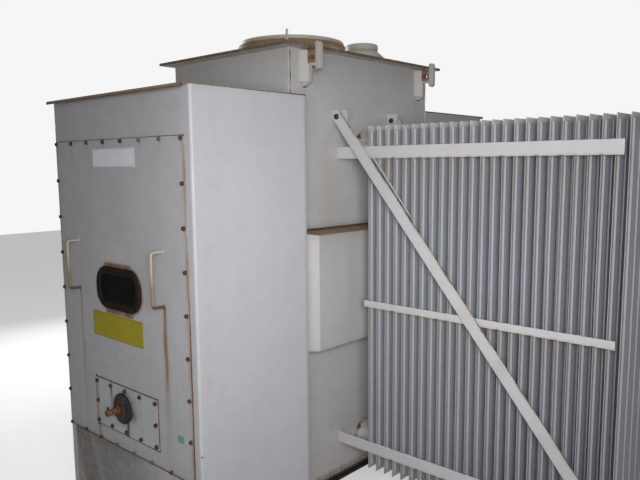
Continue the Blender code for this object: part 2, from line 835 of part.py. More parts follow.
def make_bank(word, side):
    height = fin_top - fin_bottom
    outlines = []
    for index in range(FIN_COUNT):
        outlines.append(fin_outline(mirrored(FIRST_FIN + index * FIN_PITCH, side)))
    place = (0.0, 0.0, fin_bottom + height / 2)
    name = f"radiator_bank_{word}"
    bank = add_object(name, plate_mesh(name, outlines, height, FLAT, place), RADIATOR_PAINT)
    start = bank_inner - HEADER_REACH
    length = last_fin - start
    for level, z in (("upper", UPPER_HEADER), ("lower", LOWER_HEADER)):
        shape = bmesh.new()
        bmesh.ops.create_cone(
            shape,
            cap_ends=True,
            segments=HEADER_SIDES,
            radius1=HEADER_RADIUS,
            radius2=HEADER_RADIUS,
            depth=length,
        )
        pipe = bpy.data.meshes.new(f"{level}_header_{word}")
        shape.to_mesh(pipe)
        shape.free()
        middle = mirrored(start + length / 2, side)
        pipe.transform(along((1.0, 0.0, 0.0), (middle, from_front(bank_middle), z)))
        combine(bank, add_cutter(pipe.name, pipe), "UNION")
    for place_word, y in (("front", fins_front), ("rear", fins_rear)):
        outward = -1 if place_word == "front" else 1
        edges = sorted((y + outward * BAR_THICKNESS, y - outward * MID_BAR_BITE))
        low_x, high_x = span(side, bank_inner - MID_BAR_START, bar_end)
        low = (low_x, from_front(edges[0]), MID_BAR_CENTRE - MID_BAR_HEIGHT / 2)
        high = (high_x, from_front(edges[1]), MID_BAR_CENTRE + MID_BAR_HEIGHT / 2)
        bar_name = f"{place_word}_mid_bar_{word}"
        combine(bank, add_cutter(bar_name, box_mesh(bar_name, low, high)), "UNION")


def make_valve(word, side, level, z):
    """A flanged pipe between the tank wall and a header."""
    length = bank_inner - HEADER_REACH - half_tank - 2 * SEAT_GAP
    flange = VALVE_FLANGE
    profile = [
        (0.0, length),
        (VALVE_FLANGE_RADIUS, length),
        (VALVE_FLANGE_RADIUS, length - flange),
        (VALVE_PIPE_RADIUS, length - flange),
        (VALVE_PIPE_RADIUS, flange),
        (VALVE_FLANGE_RADIUS, flange),
        (VALVE_FLANGE_RADIUS, 0.0),
        (0.0, 0.0),
    ]
    valve = add_turned(f"{level}_valve_{word}", profile, PIPE_SIDES, PALE_PAINT)
    place = (mirrored(half_tank + SEAT_GAP, side), from_front(bank_middle), z)
    valve.matrix_world = along((side, 0.0, 0.0), place)


# Tie bars and straps


def make_tie_bar(name, side, outward, z):
    """A flat bar across the plates' edges, with a foot turned along the tank wall."""
    face = bar_front if outward < 0 else bar_rear
    back = face - outward * BAR_THICKNESS
    wall = half_tank + SEAT_GAP
    foot = back - outward * BAR_FOOT
    outline = [
        (wall, face),
        (bar_end, face),
        (bar_end, back),
        (wall + BAR_THICKNESS, back),
        (wall + BAR_THICKNESS, foot),
        (wall, foot),
    ]
    placed = [(mirrored(u, side), from_front(v)) for u, v in outline]
    add_plate(name, [placed], BAR_HEIGHT, FLAT, (0.0, 0.0, z), PALE_PAINT)


def strap_outline(run_x, run_z):
    """The strap from its top bolt, along and away from the wall side. Its ends follow the lug's top
    and the wall, and the lower tie bar's end and underside."""
    length = math.hypot(run_x, run_z)
    spread, lean = run_x / length, run_z / length
    edge = STRAP_WIDTH / 2
    rise = STRAP_END_RISE
    near = STRAP_WALL_CLEARANCE - STRAP_TOP_REACH
    far = run_x + STRAP_FOOT_INSET
    bottom = -run_z - BAR_HEIGHT / 2
    corners = [
        ((edge - rise * spread) / lean, rise),
        (near, rise),
        (near, (-edge - near * lean) / spread),
        ((-edge - bottom * spread) / lean, bottom),
        (far, bottom),
        (far, (edge - far * lean) / spread),
    ]
    return [(x * spread - z * lean, x * lean + z * spread) for x, z in corners]


def make_strap(name, side, outward):
    """A flat strap from the wall lug down to the outer end of the lower tie bar."""
    lug_clear = (front_lug_face if outward < 0 else rear_lug_face) + outward * SEAT_GAP
    bar_clear = (bar_front if outward < 0 else bar_rear) + outward * SEAT_GAP
    top_x = half_tank + STRAP_TOP_REACH
    run_x = bar_end - STRAP_FOOT_INSET - top_x
    run_z = STRAP_TOP - lower_bar
    outline = strap_outline(run_x, run_z)
    ends = [u for u, v in outline]
    slope = (bar_clear - lug_clear) / (max(ends) - STRAP_LUG_HEIGHT)
    along_strap = Vector((mirrored(run_x, side), 0.0, -run_z)).normalized()
    along_strap.y = slope
    along_strap.normalize()
    across = Vector((0.0, 1.0, 0.0)).cross(along_strap).normalized()
    through = along_strap.cross(across)
    turn = Matrix((along_strap, across, through)).transposed().to_4x4()
    top_y = from_front(lug_clear - slope * STRAP_LUG_HEIGHT + outward * STRAP_THICKNESS / 2)
    place = (mirrored(top_x, side), top_y, STRAP_TOP)
    facing = [(u, mirrored(-v, side)) for u, v in outline]
    add_plate(name, [facing], STRAP_THICKNESS, turn, place, PALE_PAINT)


def make_radiators():
    for word, side in SIDES:
        make_bank(word, side)
        for level, z in (("upper", UPPER_HEADER), ("lower", LOWER_HEADER)):
            make_valve(word, side, level, z)
        for level, z in (("upper", upper_bar), ("lower", lower_bar)):
            for place_word, outward in (("front", -1), ("rear", 1)):
                make_tie_bar(f"{level}_{place_word}_bar_{word}", side, outward, z)
        for place_word, outward in (("front", -1), ("rear", 1)):
            make_strap(f"{place_word}_strap_{word}", side, outward)


make_rails()
make_tank()
make_lid()
make_manhole_cover()
make_turret()
make_lugs()
make_pockets()
make_chamber()
make_cabinet()
make_throat()
make_cover()
make_window()
make_plates()
make_handles()
make_operator()
make_radiators()
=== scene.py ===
import math

import bmesh
import bpy
import numpy as np
from mathutils import Matrix, Vector


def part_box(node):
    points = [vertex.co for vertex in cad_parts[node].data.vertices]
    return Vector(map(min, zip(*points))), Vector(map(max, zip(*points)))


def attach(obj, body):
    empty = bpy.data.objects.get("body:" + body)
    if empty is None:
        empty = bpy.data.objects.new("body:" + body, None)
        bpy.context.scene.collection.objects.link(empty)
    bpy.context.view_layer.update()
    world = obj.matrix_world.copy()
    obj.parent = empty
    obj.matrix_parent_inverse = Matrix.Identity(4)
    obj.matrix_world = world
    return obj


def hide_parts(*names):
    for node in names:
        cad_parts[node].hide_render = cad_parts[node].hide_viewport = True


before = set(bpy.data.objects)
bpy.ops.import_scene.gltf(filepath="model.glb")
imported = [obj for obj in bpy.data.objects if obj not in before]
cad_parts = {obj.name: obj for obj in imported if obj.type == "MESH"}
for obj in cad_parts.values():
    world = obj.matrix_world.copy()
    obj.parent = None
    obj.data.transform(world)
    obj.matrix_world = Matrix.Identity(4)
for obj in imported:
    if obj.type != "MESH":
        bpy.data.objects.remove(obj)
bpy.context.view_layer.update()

# Places are metres from the cabinet's front left corner on the floor: x to its right side, y to
# the rear, z up. SHIFT takes them into the CAD's frame, where camera and lights are.
SHIFT = np.array([-0.4718, -1.08685, 0.0])
MID, MIDDLE_Y = 0.4718, 1.08685
PARTS = bpy.data.collections.new("looks")
bpy.context.scene.collection.children.link(PARTS)


def span(node):
    """A CAD node's lowest and highest corner, as places."""
    return [np.array(corner[:]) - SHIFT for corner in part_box(node)]


# Materials


class Nodes:
    """A short way to write one material's node tree."""

    def __init__(self, name):
        self.material = bpy.data.materials.new(name)
        self.material.use_nodes = True
        self.tree = self.material.node_tree
        self.shader = self.tree.nodes["Principled BSDF"]
        self.place = self.add("ShaderNodeTexCoord").outputs["Object"]

    def add(self, kind, **values):
        node = self.tree.nodes.new(kind)
        for key, value in values.items():
            setattr(node, key, value)
        return node

    def link(self, value, socket):
        if isinstance(value, bpy.types.NodeSocket):
            self.tree.links.new(value, socket)
        else:
            socket.default_value = (*value, 1.0) if isinstance(value, tuple) else value

    def math(self, operation, a, b=0.0, c=0.0, clamp=False):
        node = self.add("ShaderNodeMath", operation=operation, use_clamp=clamp)
        for socket, value in zip(node.inputs, (a, b, c)):
            self.link(value, socket)
        return node.outputs[0]

    def noise(self, scale, detail=3.0, rough=0.55, factors=(1.0, 1.0, 1.0)):
        stretch = self.add("ShaderNodeMapping")
        stretch.inputs["Scale"].default_value = factors
        self.link(self.place, stretch.inputs["Vector"])
        node = self.add("ShaderNodeTexNoise")
        values = (stretch.outputs[0], scale, detail, rough)
        for key, value in zip(("Vector", "Scale", "Detail", "Roughness"), values):
            self.link(value, node.inputs[key])
        return node.outputs["Fac"]

    def spots(self, scale, size):
        """Round specks: 1 in the middle of a few cells, 0 elsewhere."""
        node = self.add("ShaderNodeTexVoronoi", feature="F1")
        self.link(self.place, node.inputs["Vector"])
        self.link(scale, node.inputs["Scale"])
        near_middle = self.ramp(node.outputs["Distance"], ((0.0, 1.0), (size, 0.0)))
        pick = self.add("ShaderNodeSeparateColor")
        self.link(node.outputs["Color"], pick.inputs[0])
        rare = self.ramp(pick.outputs[0], ((0.8, 0.0), (0.86, 1.0)))
        return self.math("MULTIPLY", near_middle, rare)

    def ramp(self, value, stops):
        """Straight steps between (place, value) pairs."""
        node = self.add("ShaderNodeValToRGB")
        self.link(value, node.inputs[0])
        elements = node.color_ramp.elements
        while len(elements) < len(stops):
            elements.new(0.5)
        for element, (place, level) in zip(elements, stops):
            element.position = place
            element.color = (*(level if isinstance(level, tuple) else (level,) * 3), 1.0)
        return node.outputs[0]

    def attribute(self, name):
        return self.add("ShaderNodeAttribute", attribute_name=name).outputs["Fac"]

    def mix(self, factor, a, b, blend="MIX"):
        node = self.add("ShaderNodeMix", data_type="RGBA", blend_type=blend)
        for value, k in ((factor, 0), (a, 6), (b, 7)):
            self.link(value, node.inputs[k])
        return node.outputs[2]

    def bump(self, height, strength, distance):
        node = self.add("ShaderNodeBump")
        for key, value in (("Strength", strength), ("Distance", distance), ("Height", height)):
            self.link(value, node.inputs[key])
        self.link(node.outputs[0], self.shader.inputs["Normal"])

    def out(self, colour, rough, specular):
        keys = ("Base Color", "Roughness", "Specular IOR Level")
        for key, value in zip(keys, (colour, rough, specular)):
            self.link(value, self.shader.inputs[key])
        return self.material


def srgb(red, green, blue):
    """A colour written as 0 to 255, as linear values."""
    values = (value / 255.0 for value in (red, green, blue))
    return tuple(v / 12.92 if v <= 0.04045 else ((v + 0.055) / 1.055) ** 2.4 for v in values)


RUST_DARK, RUST_MID, RUST_LIGHT = srgb(66, 44, 35), srgb(104, 72, 52), srgb(146, 102, 72)
STAIN, RUN = srgb(158, 128, 84), srgb(132, 90, 56)
# The first is the colour of dirt and of painted shade, the second of pale paint and of painted
# highlights
GRIME_AND_SHADE, CHALK_AND_HIGHLIGHT, OLD_PAINT = srgb(92, 88, 82), srgb(226, 226, 226), srgb(128, 118, 108)
RUST_STEPS = ((0.3, RUST_DARK), (0.5, RUST_MID), (0.62, RUST_MID), (0.78, RUST_LIGHT))


def painted(name, colour, rough=0.42, specks=0.25, mottle=0.05, streaks=0.06):
    """Old paint on sheet steel. The mesh's own attributes say where it has gone to rust and stain,
    where dirt or painted shade darkens it and where pale paint or a painted highlight lightens it;
    noise breaks up their edges."""
    n = Nodes(name)
    patch = n.noise(19.0, 5.0, 0.65)
    runs = n.noise(26.0, 3.0, 0.6, factors=(1.0, 1.0, 0.06))
    shade = n.ramp(n.noise(3.2, 4.0, 0.6), ((0.32, 1.0 - mottle), (0.68, 1.0)))
    base = n.mix(1.0, colour, shade, "MULTIPLY")
    fleck = n.ramp(patch, ((0.42, 1.0), (0.66, 1.0 - mottle * 0.9)))
    base = n.mix(1.0, base, fleck, "MULTIPLY")
    base = n.mix(n.ramp(runs, ((0.55, 0.0), (0.8, streaks))), base, STAIN)
    grain = n.ramp(n.noise(420.0, 2.0, 0.5), ((0.35, 0.965), (0.65, 1.0)))
    base = n.mix(1.0, base, grain, "MULTIPLY")
    # Pale paint, and painted highlights where a piece marks them
    chalk = n.math("MULTIPLY", n.attribute("chalk"), n.ramp(patch, ((0.3, 0.5), (0.6, 1.0))))
    base = n.mix(chalk, base, CHALK_AND_HIGHLIGHT)
    # Dirt, and painted shade where a piece marks it
    grime_noise = n.ramp(n.noise(34.0, 4.0, 0.65), ((0.25, 0.55), (0.7, 1.0)))
    grime = n.math("MULTIPLY", n.attribute("grime"), grime_noise, clamp=True)
    base = n.mix(grime, base, GRIME_AND_SHADE)
    stain_noise = n.ramp(runs, ((0.25, 0.55), (0.65, 1.0)))
    stain = n.math("MULTIPLY", n.attribute("stain"), stain_noise, clamp=True)
    base = n.mix(stain, base, n.ramp(n.attribute("stain"), ((0.42, STAIN), (0.95, RUN))))
    breakup = n.math("MULTIPLY", n.noise(75.0, 5.0, 0.7), 0.8)
    worn = n.math("MULTIPLY_ADD", n.attribute("rust"), 1.55, breakup)
    mask = n.math("MULTIPLY", n.math("SUBTRACT", worn, 0.84), 2.6, clamp=True)
    mask = n.math("MAXIMUM", mask, n.math("MULTIPLY", n.spots(48.0, 0.1), specks))
    base = n.mix(mask, base, n.ramp(n.noise(160.0, 4.0, 0.7), RUST_STEPS))
    gloss = n.ramp(patch, ((0.3, rough - 0.05), (0.7, rough + 0.1)))
    roughness = n.math("MULTIPLY_ADD", mask, 0.4, gloss, clamp=True)
    height = n.math("MULTIPLY", mask, n.noise(230.0, 4.0, 0.7))
    height = n.math("MULTIPLY_ADD", n.noise(90.0, 2.0, 0.5), 0.12, height)
    n.bump(height, 0.35, 0.001)
    return n.out(base, roughness, 0.35)


def toned(name, tone, stops, grain, bump, rough, specular, paint_left=None):
    """A material of one broken tone; paint_left is the noise level above which old paint stays."""
    n = Nodes(name)
    colour = n.ramp(n.noise(*tone), stops)
    if paint_left:
        left = n.ramp(n.noise(130.0, 4.0, 0.65), ((paint_left, 0.0), (paint_left + 0.15, 1.0)))
        colour = n.mix(left, colour, OLD_PAINT)
    n.bump(n.noise(*grain), *bump)
    return n.out(colour, rough, specular)


def rusty(name, amount, stops):
    """Rusted steel with a little of the old paint left on it."""
    grain, bump = (300.0, 5.0, 0.75), (0.6, 0.0012)
    left = 0.45 + 0.3 * amount
    return toned(name, (60.0, 5.0, 0.7), stops, grain, bump, 0.86, 0.25, left)


def glass_material(name):
    """Dark, dusty glass in front of an unlit cabinet."""
    n = Nodes(name)
    dust = n.ramp(n.noise(14.0, 5.0, 0.7), ((0.3, srgb(12, 13, 13)), (0.75, srgb(26, 27, 26))))
    rough = n.ramp(n.noise(40.0, 4.0, 0.6), ((0.3, 0.22), (0.8, 0.42)))
    n.bump(n.noise(6.0, 2.0, 0.5), 0.05, 0.002)
    return n.out(dust, rough, 0.06)


def plate_material(name, colour, dirt):
    """A bare printed plate, rubbed and dusty."""
    n = Nodes(name)
    cloud = n.noise(16.0, 5.0, 0.65)
    base = n.mix(1.0, colour, n.ramp(cloud, ((0.3, 0.9), (0.65, 1.0))), "MULTIPLY")
    scuffs = n.ramp(n.noise(60.0, 5.0, 0.75, factors=(1.0, 1.0, 3.0)), ((0.6, 0.0), (0.8, 0.55)))
    base = n.mix(scuffs, base, dirt)
    base = n.mix(n.ramp(n.attribute("grime"), ((0.0, 0.0), (1.0, 0.75))), base, dirt)
    n.bump(n.noise(150.0, 3.0, 0.5), 0.12, 0.0005)
    return n.out(base, n.ramp(cloud, ((0.3, 0.3), (0.7, 0.45))), 0.4)


PAINT = painted("cabinet_paint", srgb(194, 194, 198))
FRONT_PAINT = painted("front_paint", srgb(193, 193, 196), mottle=0.07, streaks=0.08)
TANK_PAINT = painted("tank_paint", srgb(190, 190, 191), mottle=0.06)
FIN_PAINT = painted("radiator_paint", srgb(167, 170, 177), rough=0.5, mottle=0.03, specks=0.5)
BAR_PAINT = painted("bar_paint", srgb(200, 200, 203), mottle=0.04, specks=0.3)
PALE_PAINT = painted("lid_paint", srgb(192, 190, 184), mottle=0.06)
HANDLE_PAINT = painted("handle_paint", srgb(198, 188, 164), mottle=0.08)
OPERATOR_PAINT = painted("operator_plate_paint", srgb(196, 198, 202), mottle=0.06, streaks=0.1)
KNOB_BLACK = painted("knob_black", srgb(36, 41, 42), rough=0.6, specks=0.6)
COLLAR = painted("collar_sealant", srgb(142, 122, 92), rough=0.6, mottle=0.26, streaks=0.2)
BROWN_STEPS = ((0.3, srgb(52, 38, 33)), (0.5, srgb(84, 60, 48)), (0.72, srgb(118, 84, 64)))
DARK_STEPS = ((0.3, srgb(40, 37, 35)), (0.5, srgb(58, 52, 48)), (0.75, srgb(82, 68, 56)))
GREY_STEPS = ((0.3, srgb(84, 86, 92)), (0.6, srgb(112, 112, 116)), (0.85, srgb(96, 74, 60)))
WORN_STEPS = ((0.3, srgb(80, 58, 45)), (0.5, srgb(108, 82, 65)), (0.75, srgb(134, 106, 84)))
RUBBER_STEPS = ((0.35, srgb(27, 23, 20)), (0.62, srgb(42, 34, 29)), (0.85, srgb(68, 52, 40)))
SKID_STEPS = ((0.3, srgb(48, 42, 38)), (0.55, srgb(74, 62, 54)), (0.8, srgb(116, 84, 62)))
RUST = rusty("rusted_steel", 0.7, BROWN_STEPS)
BOLT_RUST = rusty("bolt_rust", 0.55, BROWN_STEPS)
DARK_BOLT = rusty("dark_bolt", 1.0, DARK_STEPS)
GREY_STEEL = rusty("grey_bolt", 1.0, GREY_STEPS)
WORN_STEEL = rusty("worn_steel", 1.0, WORN_STEPS)
RUBBER = toned("window_rubber", (38.0, 4.0, 0.6), RUBBER_STEPS, (260.0, 3.0, 0.6), (0.35, 0.0008),
               0.7, 0.2)
GLASS = glass_material("window_dark_glass")
WHITE = plate_material("white_plate", srgb(240, 237, 243), srgb(160, 148, 142))
YELLOW = plate_material("yellow_plate", srgb(172, 159, 26), srgb(124, 106, 40))
MARK = plate_material("blue_green_tape", srgb(120, 156, 157), srgb(128, 134, 132))
STEEL = toned("skid_steel", (22.0, 5.0, 0.7), SKID_STEPS, (120.0, 4.0, 0.7), (0.4, 0.0015),
              0.8, 0.3)

# Words and signs for the two sides and the two ends
SIDES = (("right", 1), ("left", -1))
ENDS = (("front", -1), ("rear", 1))


# Shapes: each is a list of vertices and a list of faces


def skin(rings, ends="caps"):
    """Faces between rings of points. ends is caps, open, or loop, which joins last to first."""
    count, total = len(rings[0]), len(rings)
    verts = [tuple(point) for ring in rings for point in ring]
    faces = []
    for s in range(total if ends == "loop" else total - 1):
        a, b = s * count, (s + 1) % total * count
        for k in range(count):
            j = (k + 1) % count
            faces.append((a + k, a + j, b + j, b + k))
    if ends == "caps":
        faces.append(tuple(range(count))[::-1])
        faces.append(tuple(range((total - 1) * count, total * count)))
    return verts, faces


def steps(low, high, cell, radius=0.0):
    """Grid lines from low to high, with two more near each end where the edge is rounded."""
    count = max(1, int(round((high - low - 2 * radius) / cell)))
    inner = np.linspace(low + radius, high - radius, count + 1)
    if not radius:
        return inner
    near_edge = radius * 0.586
    return np.concatenate(([low, low + near_edge], inner, [high - near_edge, high]))


def box(low, high, radius=0.001, cells=(0.02, 0.02, 0.02)):
    """A box with rounded edges and a grid on each face."""
    low, high = np.array(low, float), np.array(high, float)
    lines = [steps(low[i], high[i], cells[i], radius) for i in range(3)]
    verts, faces = [], []
    for axis in range(3):
        u_axis, v_axis = [i for i in range(3) if i != axis]
        us, vs = lines[u_axis], lines[v_axis]
        row = len(vs)
        for end in (low[axis], high[axis]):
            first = len(verts)
            for u in us:
                for v in vs:
                    p = np.empty(3)
                    p[axis], p[u_axis], p[v_axis] = end, u, v
                    verts.append(p)
            for i in range(len(us) - 1):
                for a in range(first + i * row, first + i * row + row - 1):
                    faces.append((a, a + row, a + row + 1, a + 1))
    verts = np.array(verts)
    inner = np.clip(verts, low + radius, high - radius)
    away = verts - inner
    length = np.linalg.norm(away, axis=1, keepdims=True)
    return inner + radius * away / np.maximum(length, 1e-9), faces


def join(shapes):
    """One list of vertices and faces from several."""
    verts, faces = [], []
    for some_verts, some_faces in shapes:
        start = len(verts)
        verts += list(some_verts)
        faces += [tuple(i + start for i in f) for f in some_faces]
    return verts, faces


def lathe(profile, sides, place, axis, ends="open", start=0.0):
    """A shape turned about an axis, from (radius, height) rows. A third number in a row is the
    depth of the milling there."""
    turn = Vector(axis).to_track_quat("Z", "X").to_matrix()
    centre = Vector(SHIFT + np.array(place))
    rings = []
    for radius, height, *milled in profile:
        ring = []
        for k in range(sides):
            angle = 2 * math.pi * k / sides + start
            r = radius - (sum(milled) if k % 4 in (2, 3) else 0.0)
            point = Vector((r * math.cos(angle), r * math.sin(angle), height))
            ring.append(np.array(turn @ point + centre) - SHIFT)
        rings.append(ring)
    return skin(rings, ends)


def hex_bolt(place, axis, across, head, turn=0.0, washer=True):
    """A hexagon head with a chamfered top on a thin washer."""
    place, axis, shapes = Vector(place), Vector(axis), []
    if washer:
        r, t = across * 0.64, 0.0016
        profile = [(0.0, t), (r * 0.94, t), (r, t * 0.6), (r, 0.0), (0.0, 0.0)]
        shapes.append(lathe(profile, 16, place, axis))
        place = place + axis * t
    r = across / math.sqrt(3.0)
    profile = [(r * 0.8, head), (r, head * 0.8), (r, 0.0)]
    return join(shapes + [lathe(profile, 6, place, axis, "caps", turn)])


def rod(route, radius, sides=14, ripple=0.0, seed=0.0):
    """A round bar along a route of points, with a rippled surface for a weld."""
    route = [Vector(p) for p in route]
    rings, normal = [], None
    for i, point in enumerate(route):
        ahead = (route[min(i + 1, len(route) - 1)] - route[max(i - 1, 0)]).normalized()
        normal = normal or ahead.orthogonal().normalized()
        normal = (normal - ahead * normal.dot(ahead)).normalized()
        other = ahead.cross(normal)
        size = radius * (1.0 + ripple * wobble(i, seed))
        angles = [2 * math.pi * k / sides for k in range(sides)]
        rings.append([point + (normal * math.cos(a) + other * math.sin(a)) * size for a in angles])
    return skin(rings)


def bead(points, radius, seed):
    """A weld bead: a low rippled ridge along a line."""
    route, dense = [Vector(p) for p in points], []
    for a, b in zip(route, route[1:]):
        count = max(1, int((b - a).length / 0.012))
        dense += [a.lerp(b, k / count) for k in range(count)]
    return rod(dense + [route[-1]], radius, 8, 0.22, seed)


def copy_of(node, bevel, cell):
    """A CAD node's mesh with its edges rounded and its faces divided finely enough to be marked."""
    shape = bmesh.new()
    shape.from_mesh(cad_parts[node].data)
    bmesh.ops.remove_doubles(shape, verts=shape.verts, dist=1e-5)
    flat = math.radians(1.0)
    bmesh.ops.dissolve_limit(shape, angle_limit=flat, verts=shape.verts, edges=shape.edges)
    sharp = [e for e in shape.edges if len(e.link_faces) == 2 and e.calc_face_angle(0.0) > 0.4]
    bmesh.ops.bevel(shape, geom=sharp, offset=bevel, segments=2, profile=0.5, affect="EDGES",
                    clamp_overlap=True)
    low = np.min([v.co[:] for v in shape.verts], axis=0)
    high = np.max([v.co[:] for v in shape.verts], axis=0)
    for axis in range(3):
        count = int((high[axis] - low[axis]) / cell[axis]) if cell[axis] else 0
        for k in range(1, count):
            place, normal = np.zeros(3), np.zeros(3)
            place[axis], normal[axis] = low[axis] + (high[axis] - low[axis]) * k / count, 1.0
            geometry = list(shape.verts) + list(shape.edges) + list(shape.faces)
            bmesh.ops.bisect_plane(shape, geom=geometry, dist=1e-6, plane_co=place, plane_no=normal)
    mesh = bpy.data.meshes.new(node)
    shape.to_mesh(mesh)
    shape.free()
    return mesh


class Points:
    """A mesh's vertices as places, and up, how far their normals point upward."""

    def __init__(self, mesh):
        co, no = np.empty(len(mesh.vertices) * 3), np.empty(len(mesh.vertices) * 3)
        mesh.vertices.foreach_get("co", co)
        mesh.vertices.foreach_get("normal", no)
        self.x, self.y, self.z = (co.reshape(-1, 3) - SHIFT).T
        self.up = no[2::3]


def piece(name, shape, material, angle=35.0, slot=None, node=None, body="base", **marks):
    """An object from a shape or a mesh. angle is the sharpest edge shaded smooth, and marks are the
    attributes for rust, stain, dirt or painted shade, and pale paint or painted highlights, as
    values or as functions of its points."""
    mesh = shape
    if isinstance(shape, tuple):
        mesh = bpy.data.meshes.new(name)
        mesh.from_pydata([tuple(v) for v in np.array(shape[0]) + SHIFT], [], shape[1])
    clean = bmesh.new()
    clean.from_mesh(mesh)
    bmesh.ops.remove_doubles(clean, verts=clean.verts, dist=1e-5)
    bmesh.ops.recalc_face_normals(clean, faces=clean.faces)
    clean.to_mesh(mesh)
    clean.free()
    mesh.shade_smooth()
    mesh.set_sharp_from_angle(angle=math.radians(angle))
    made = bpy.data.objects.new(name, mesh)
    PARTS.objects.link(made)
    mesh.materials.append(material)
    points = Points(mesh)
    for key, painter in marks.items():
        values = painter(points) if callable(painter) else painter
        values = np.clip(np.broadcast_to(values, points.z.shape), 0.0, 1.0).astype(np.float32)
        mesh.attributes.new(key, "FLOAT", "POINT").data.foreach_set("value", values)
    if node:
        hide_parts(node)
    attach(made, body)


# Marks: each function takes a piece's points and gives one value for each


def wobble(index, salt=0.0):
    """A repeatable value from -1 to 1."""
    fast = math.sin(index * 12.9898 + salt * 78.233 + 0.5)
    return 0.5 * (fast + math.sin(index * 3.77 + salt))


def near(distance, width, soft):
    """1 within width, falling to 0 over soft."""
    return np.clip((width + soft - distance) / soft, 0.0, 1.0)


def streak(p, x, top, length, width, strength, power=0.7, axis=0, lean=0.0):
    """A run of rust down from a point, in the plane of z and of x, or of y where axis is 1."""
    t = (top - p.z) / length
    inside = (t >= 0.0) & (t <= 1.0)
    t = np.clip(t, 0.0, 1.0)
    drift = 0.0015 * np.sin(p.z * 31.0 + (x + SHIFT[axis]) * 57.0)
    u = (p.x, p.y)[axis] + lean * (p.z - COVER_B)
    spread = width * (0.7 + 0.6 * t)
    across = np.exp(-(((u - x - drift) / spread) ** 2))
    return strength * across * (1.0 - t) ** power * inside


def spot(p, x, z, radius, strength, axis=0):
    distance = np.hypot((p.x, p.y)[axis] - x, p.z - z)
    return strength * near(distance, radius * 0.5, radius)


def blobs(u, z, rows):
    """Soft patches, from rows of place across and up, size across and up, and strength."""
    return sum(
        strength * np.exp(-(((u - u0) / ru) ** 2) - ((z - z0) / rz) ** 2)
        for u0, z0, ru, rz, strength in rows
    )


def rim_distance(u, v, low, high, v_axis=2):
    """Distance inside a sheet's nearest edge, across x and one more axis."""
    du = np.minimum(u - low[0], high[0] - u)
    return np.minimum(du, np.minimum(v - low[v_axis], high[v_axis] - v))


# Camera: a plain lens at the photograph's place


def make_camera():
    focal, yaw, pitch, roll = 656.43, 0.73161, -0.12634, -0.0071
    width, sensor = 640.0, 36.0
    level = math.cos(pitch)
    forward = Vector((-math.sin(yaw) * level, math.cos(yaw) * level, math.sin(pitch)))
    right = Vector((math.cos(yaw), math.sin(yaw), 0.0))
    up = right.cross(forward)
    turned_right = right * math.cos(roll) + up * math.sin(roll)
    turned_up = up * math.cos(roll) - right * math.sin(roll)
    data = bpy.data.cameras.new("camera")
    data.sensor_width = sensor
    data.lens = focal * sensor / width
    data.shift_x, data.shift_y = -7.74 / width, 8.64 / width
    data.clip_start, data.clip_end = 0.05, 60.0
    camera = bpy.data.objects.new("camera", data)
    bpy.context.scene.collection.objects.link(camera)
    turn = Matrix((turned_right, turned_up, -forward)).transposed().to_4x4()
    camera.matrix_world = Matrix.Translation(SHIFT + (2.8904, -1.3999, 1.6137)) @ turn
    bpy.context.scene.camera = camera


# Front cabinet

COVER_L, COVER_R, COVER_B, COVER_T = 0.014, 0.963, 0.424, 1.724
SHEET, SHEET_TOP, DEPTH = 0.004, 1.8957, 0.577
FRONT_FACE = -0.0043
BACK_FACE = FRONT_FACE - 0.0003
ROOF_FRONT, ROOF_TOP, LIP = -0.03, 1.9, 0.013
# Place across and up, radius and strength
SIDE_SPOTS = (
    (0.012, 1.33, 0.004, 0.5),
    (0.01, 1.48, 0.003, 0.45),
    (0.004, 1.19, 0.003, 0.45),
    (0.006, 0.545, 0.005, 0.65),
    (0.01, 0.37, 0.005, 0.7),
    (0.008, 0.33, 0.005, 0.7),
    (0.5, 1.887, 0.004, 0.4),
    (0.36, 1.889, 0.004, 0.35),
)
SIDE_STAINS = ((0.06, 1.3, 0.03, 0.1, 0.1), (0.05, 0.95, 0.02, 0.12, 0.08))
SIDE_GRIME = (
    (0.083, 1.8, 0.01, 0.018, 0.16),
    (0.116, 1.54, 0.008, 0.02, 0.18),
    (0.055, 0.815, 0.01, 0.02, 0.2),
    (0.1, 0.755, 0.012, 0.03, 0.1),
    (0.3, 1.83, 0.04, 0.03, 0.07),
)
# Place, top, length, width and strength
SKIRT_RUNS = (
    (0.075, 0.4, 0.38, 0.012, 0.3),
    (0.15, 0.42, 0.42, 0.016, 0.5),
    (0.235, 0.42, 0.4, 0.014, 0.45),
    (0.33, 0.42, 0.2, 0.012, 0.22),
    (0.48, 0.42, 0.25, 0.014, 0.2),
    (0.64, 0.42, 0.22, 0.012, 0.22),
    (0.7, 0.42, 0.34, 0.009, 0.3),
    (0.82, 0.42, 0.3, 0.012, 0.26),
    (0.938, 0.42, 0.4, 0.008, 0.32),
)


def arc(centre_u, centre_v, radius, first, last, count):
    """Points on a circle from one angle to another, in degrees."""
    angles = np.radians(np.linspace(first, last, count))
    return [(centre_u + radius * math.cos(a), centre_v + radius * math.sin(a)) for a in angles]


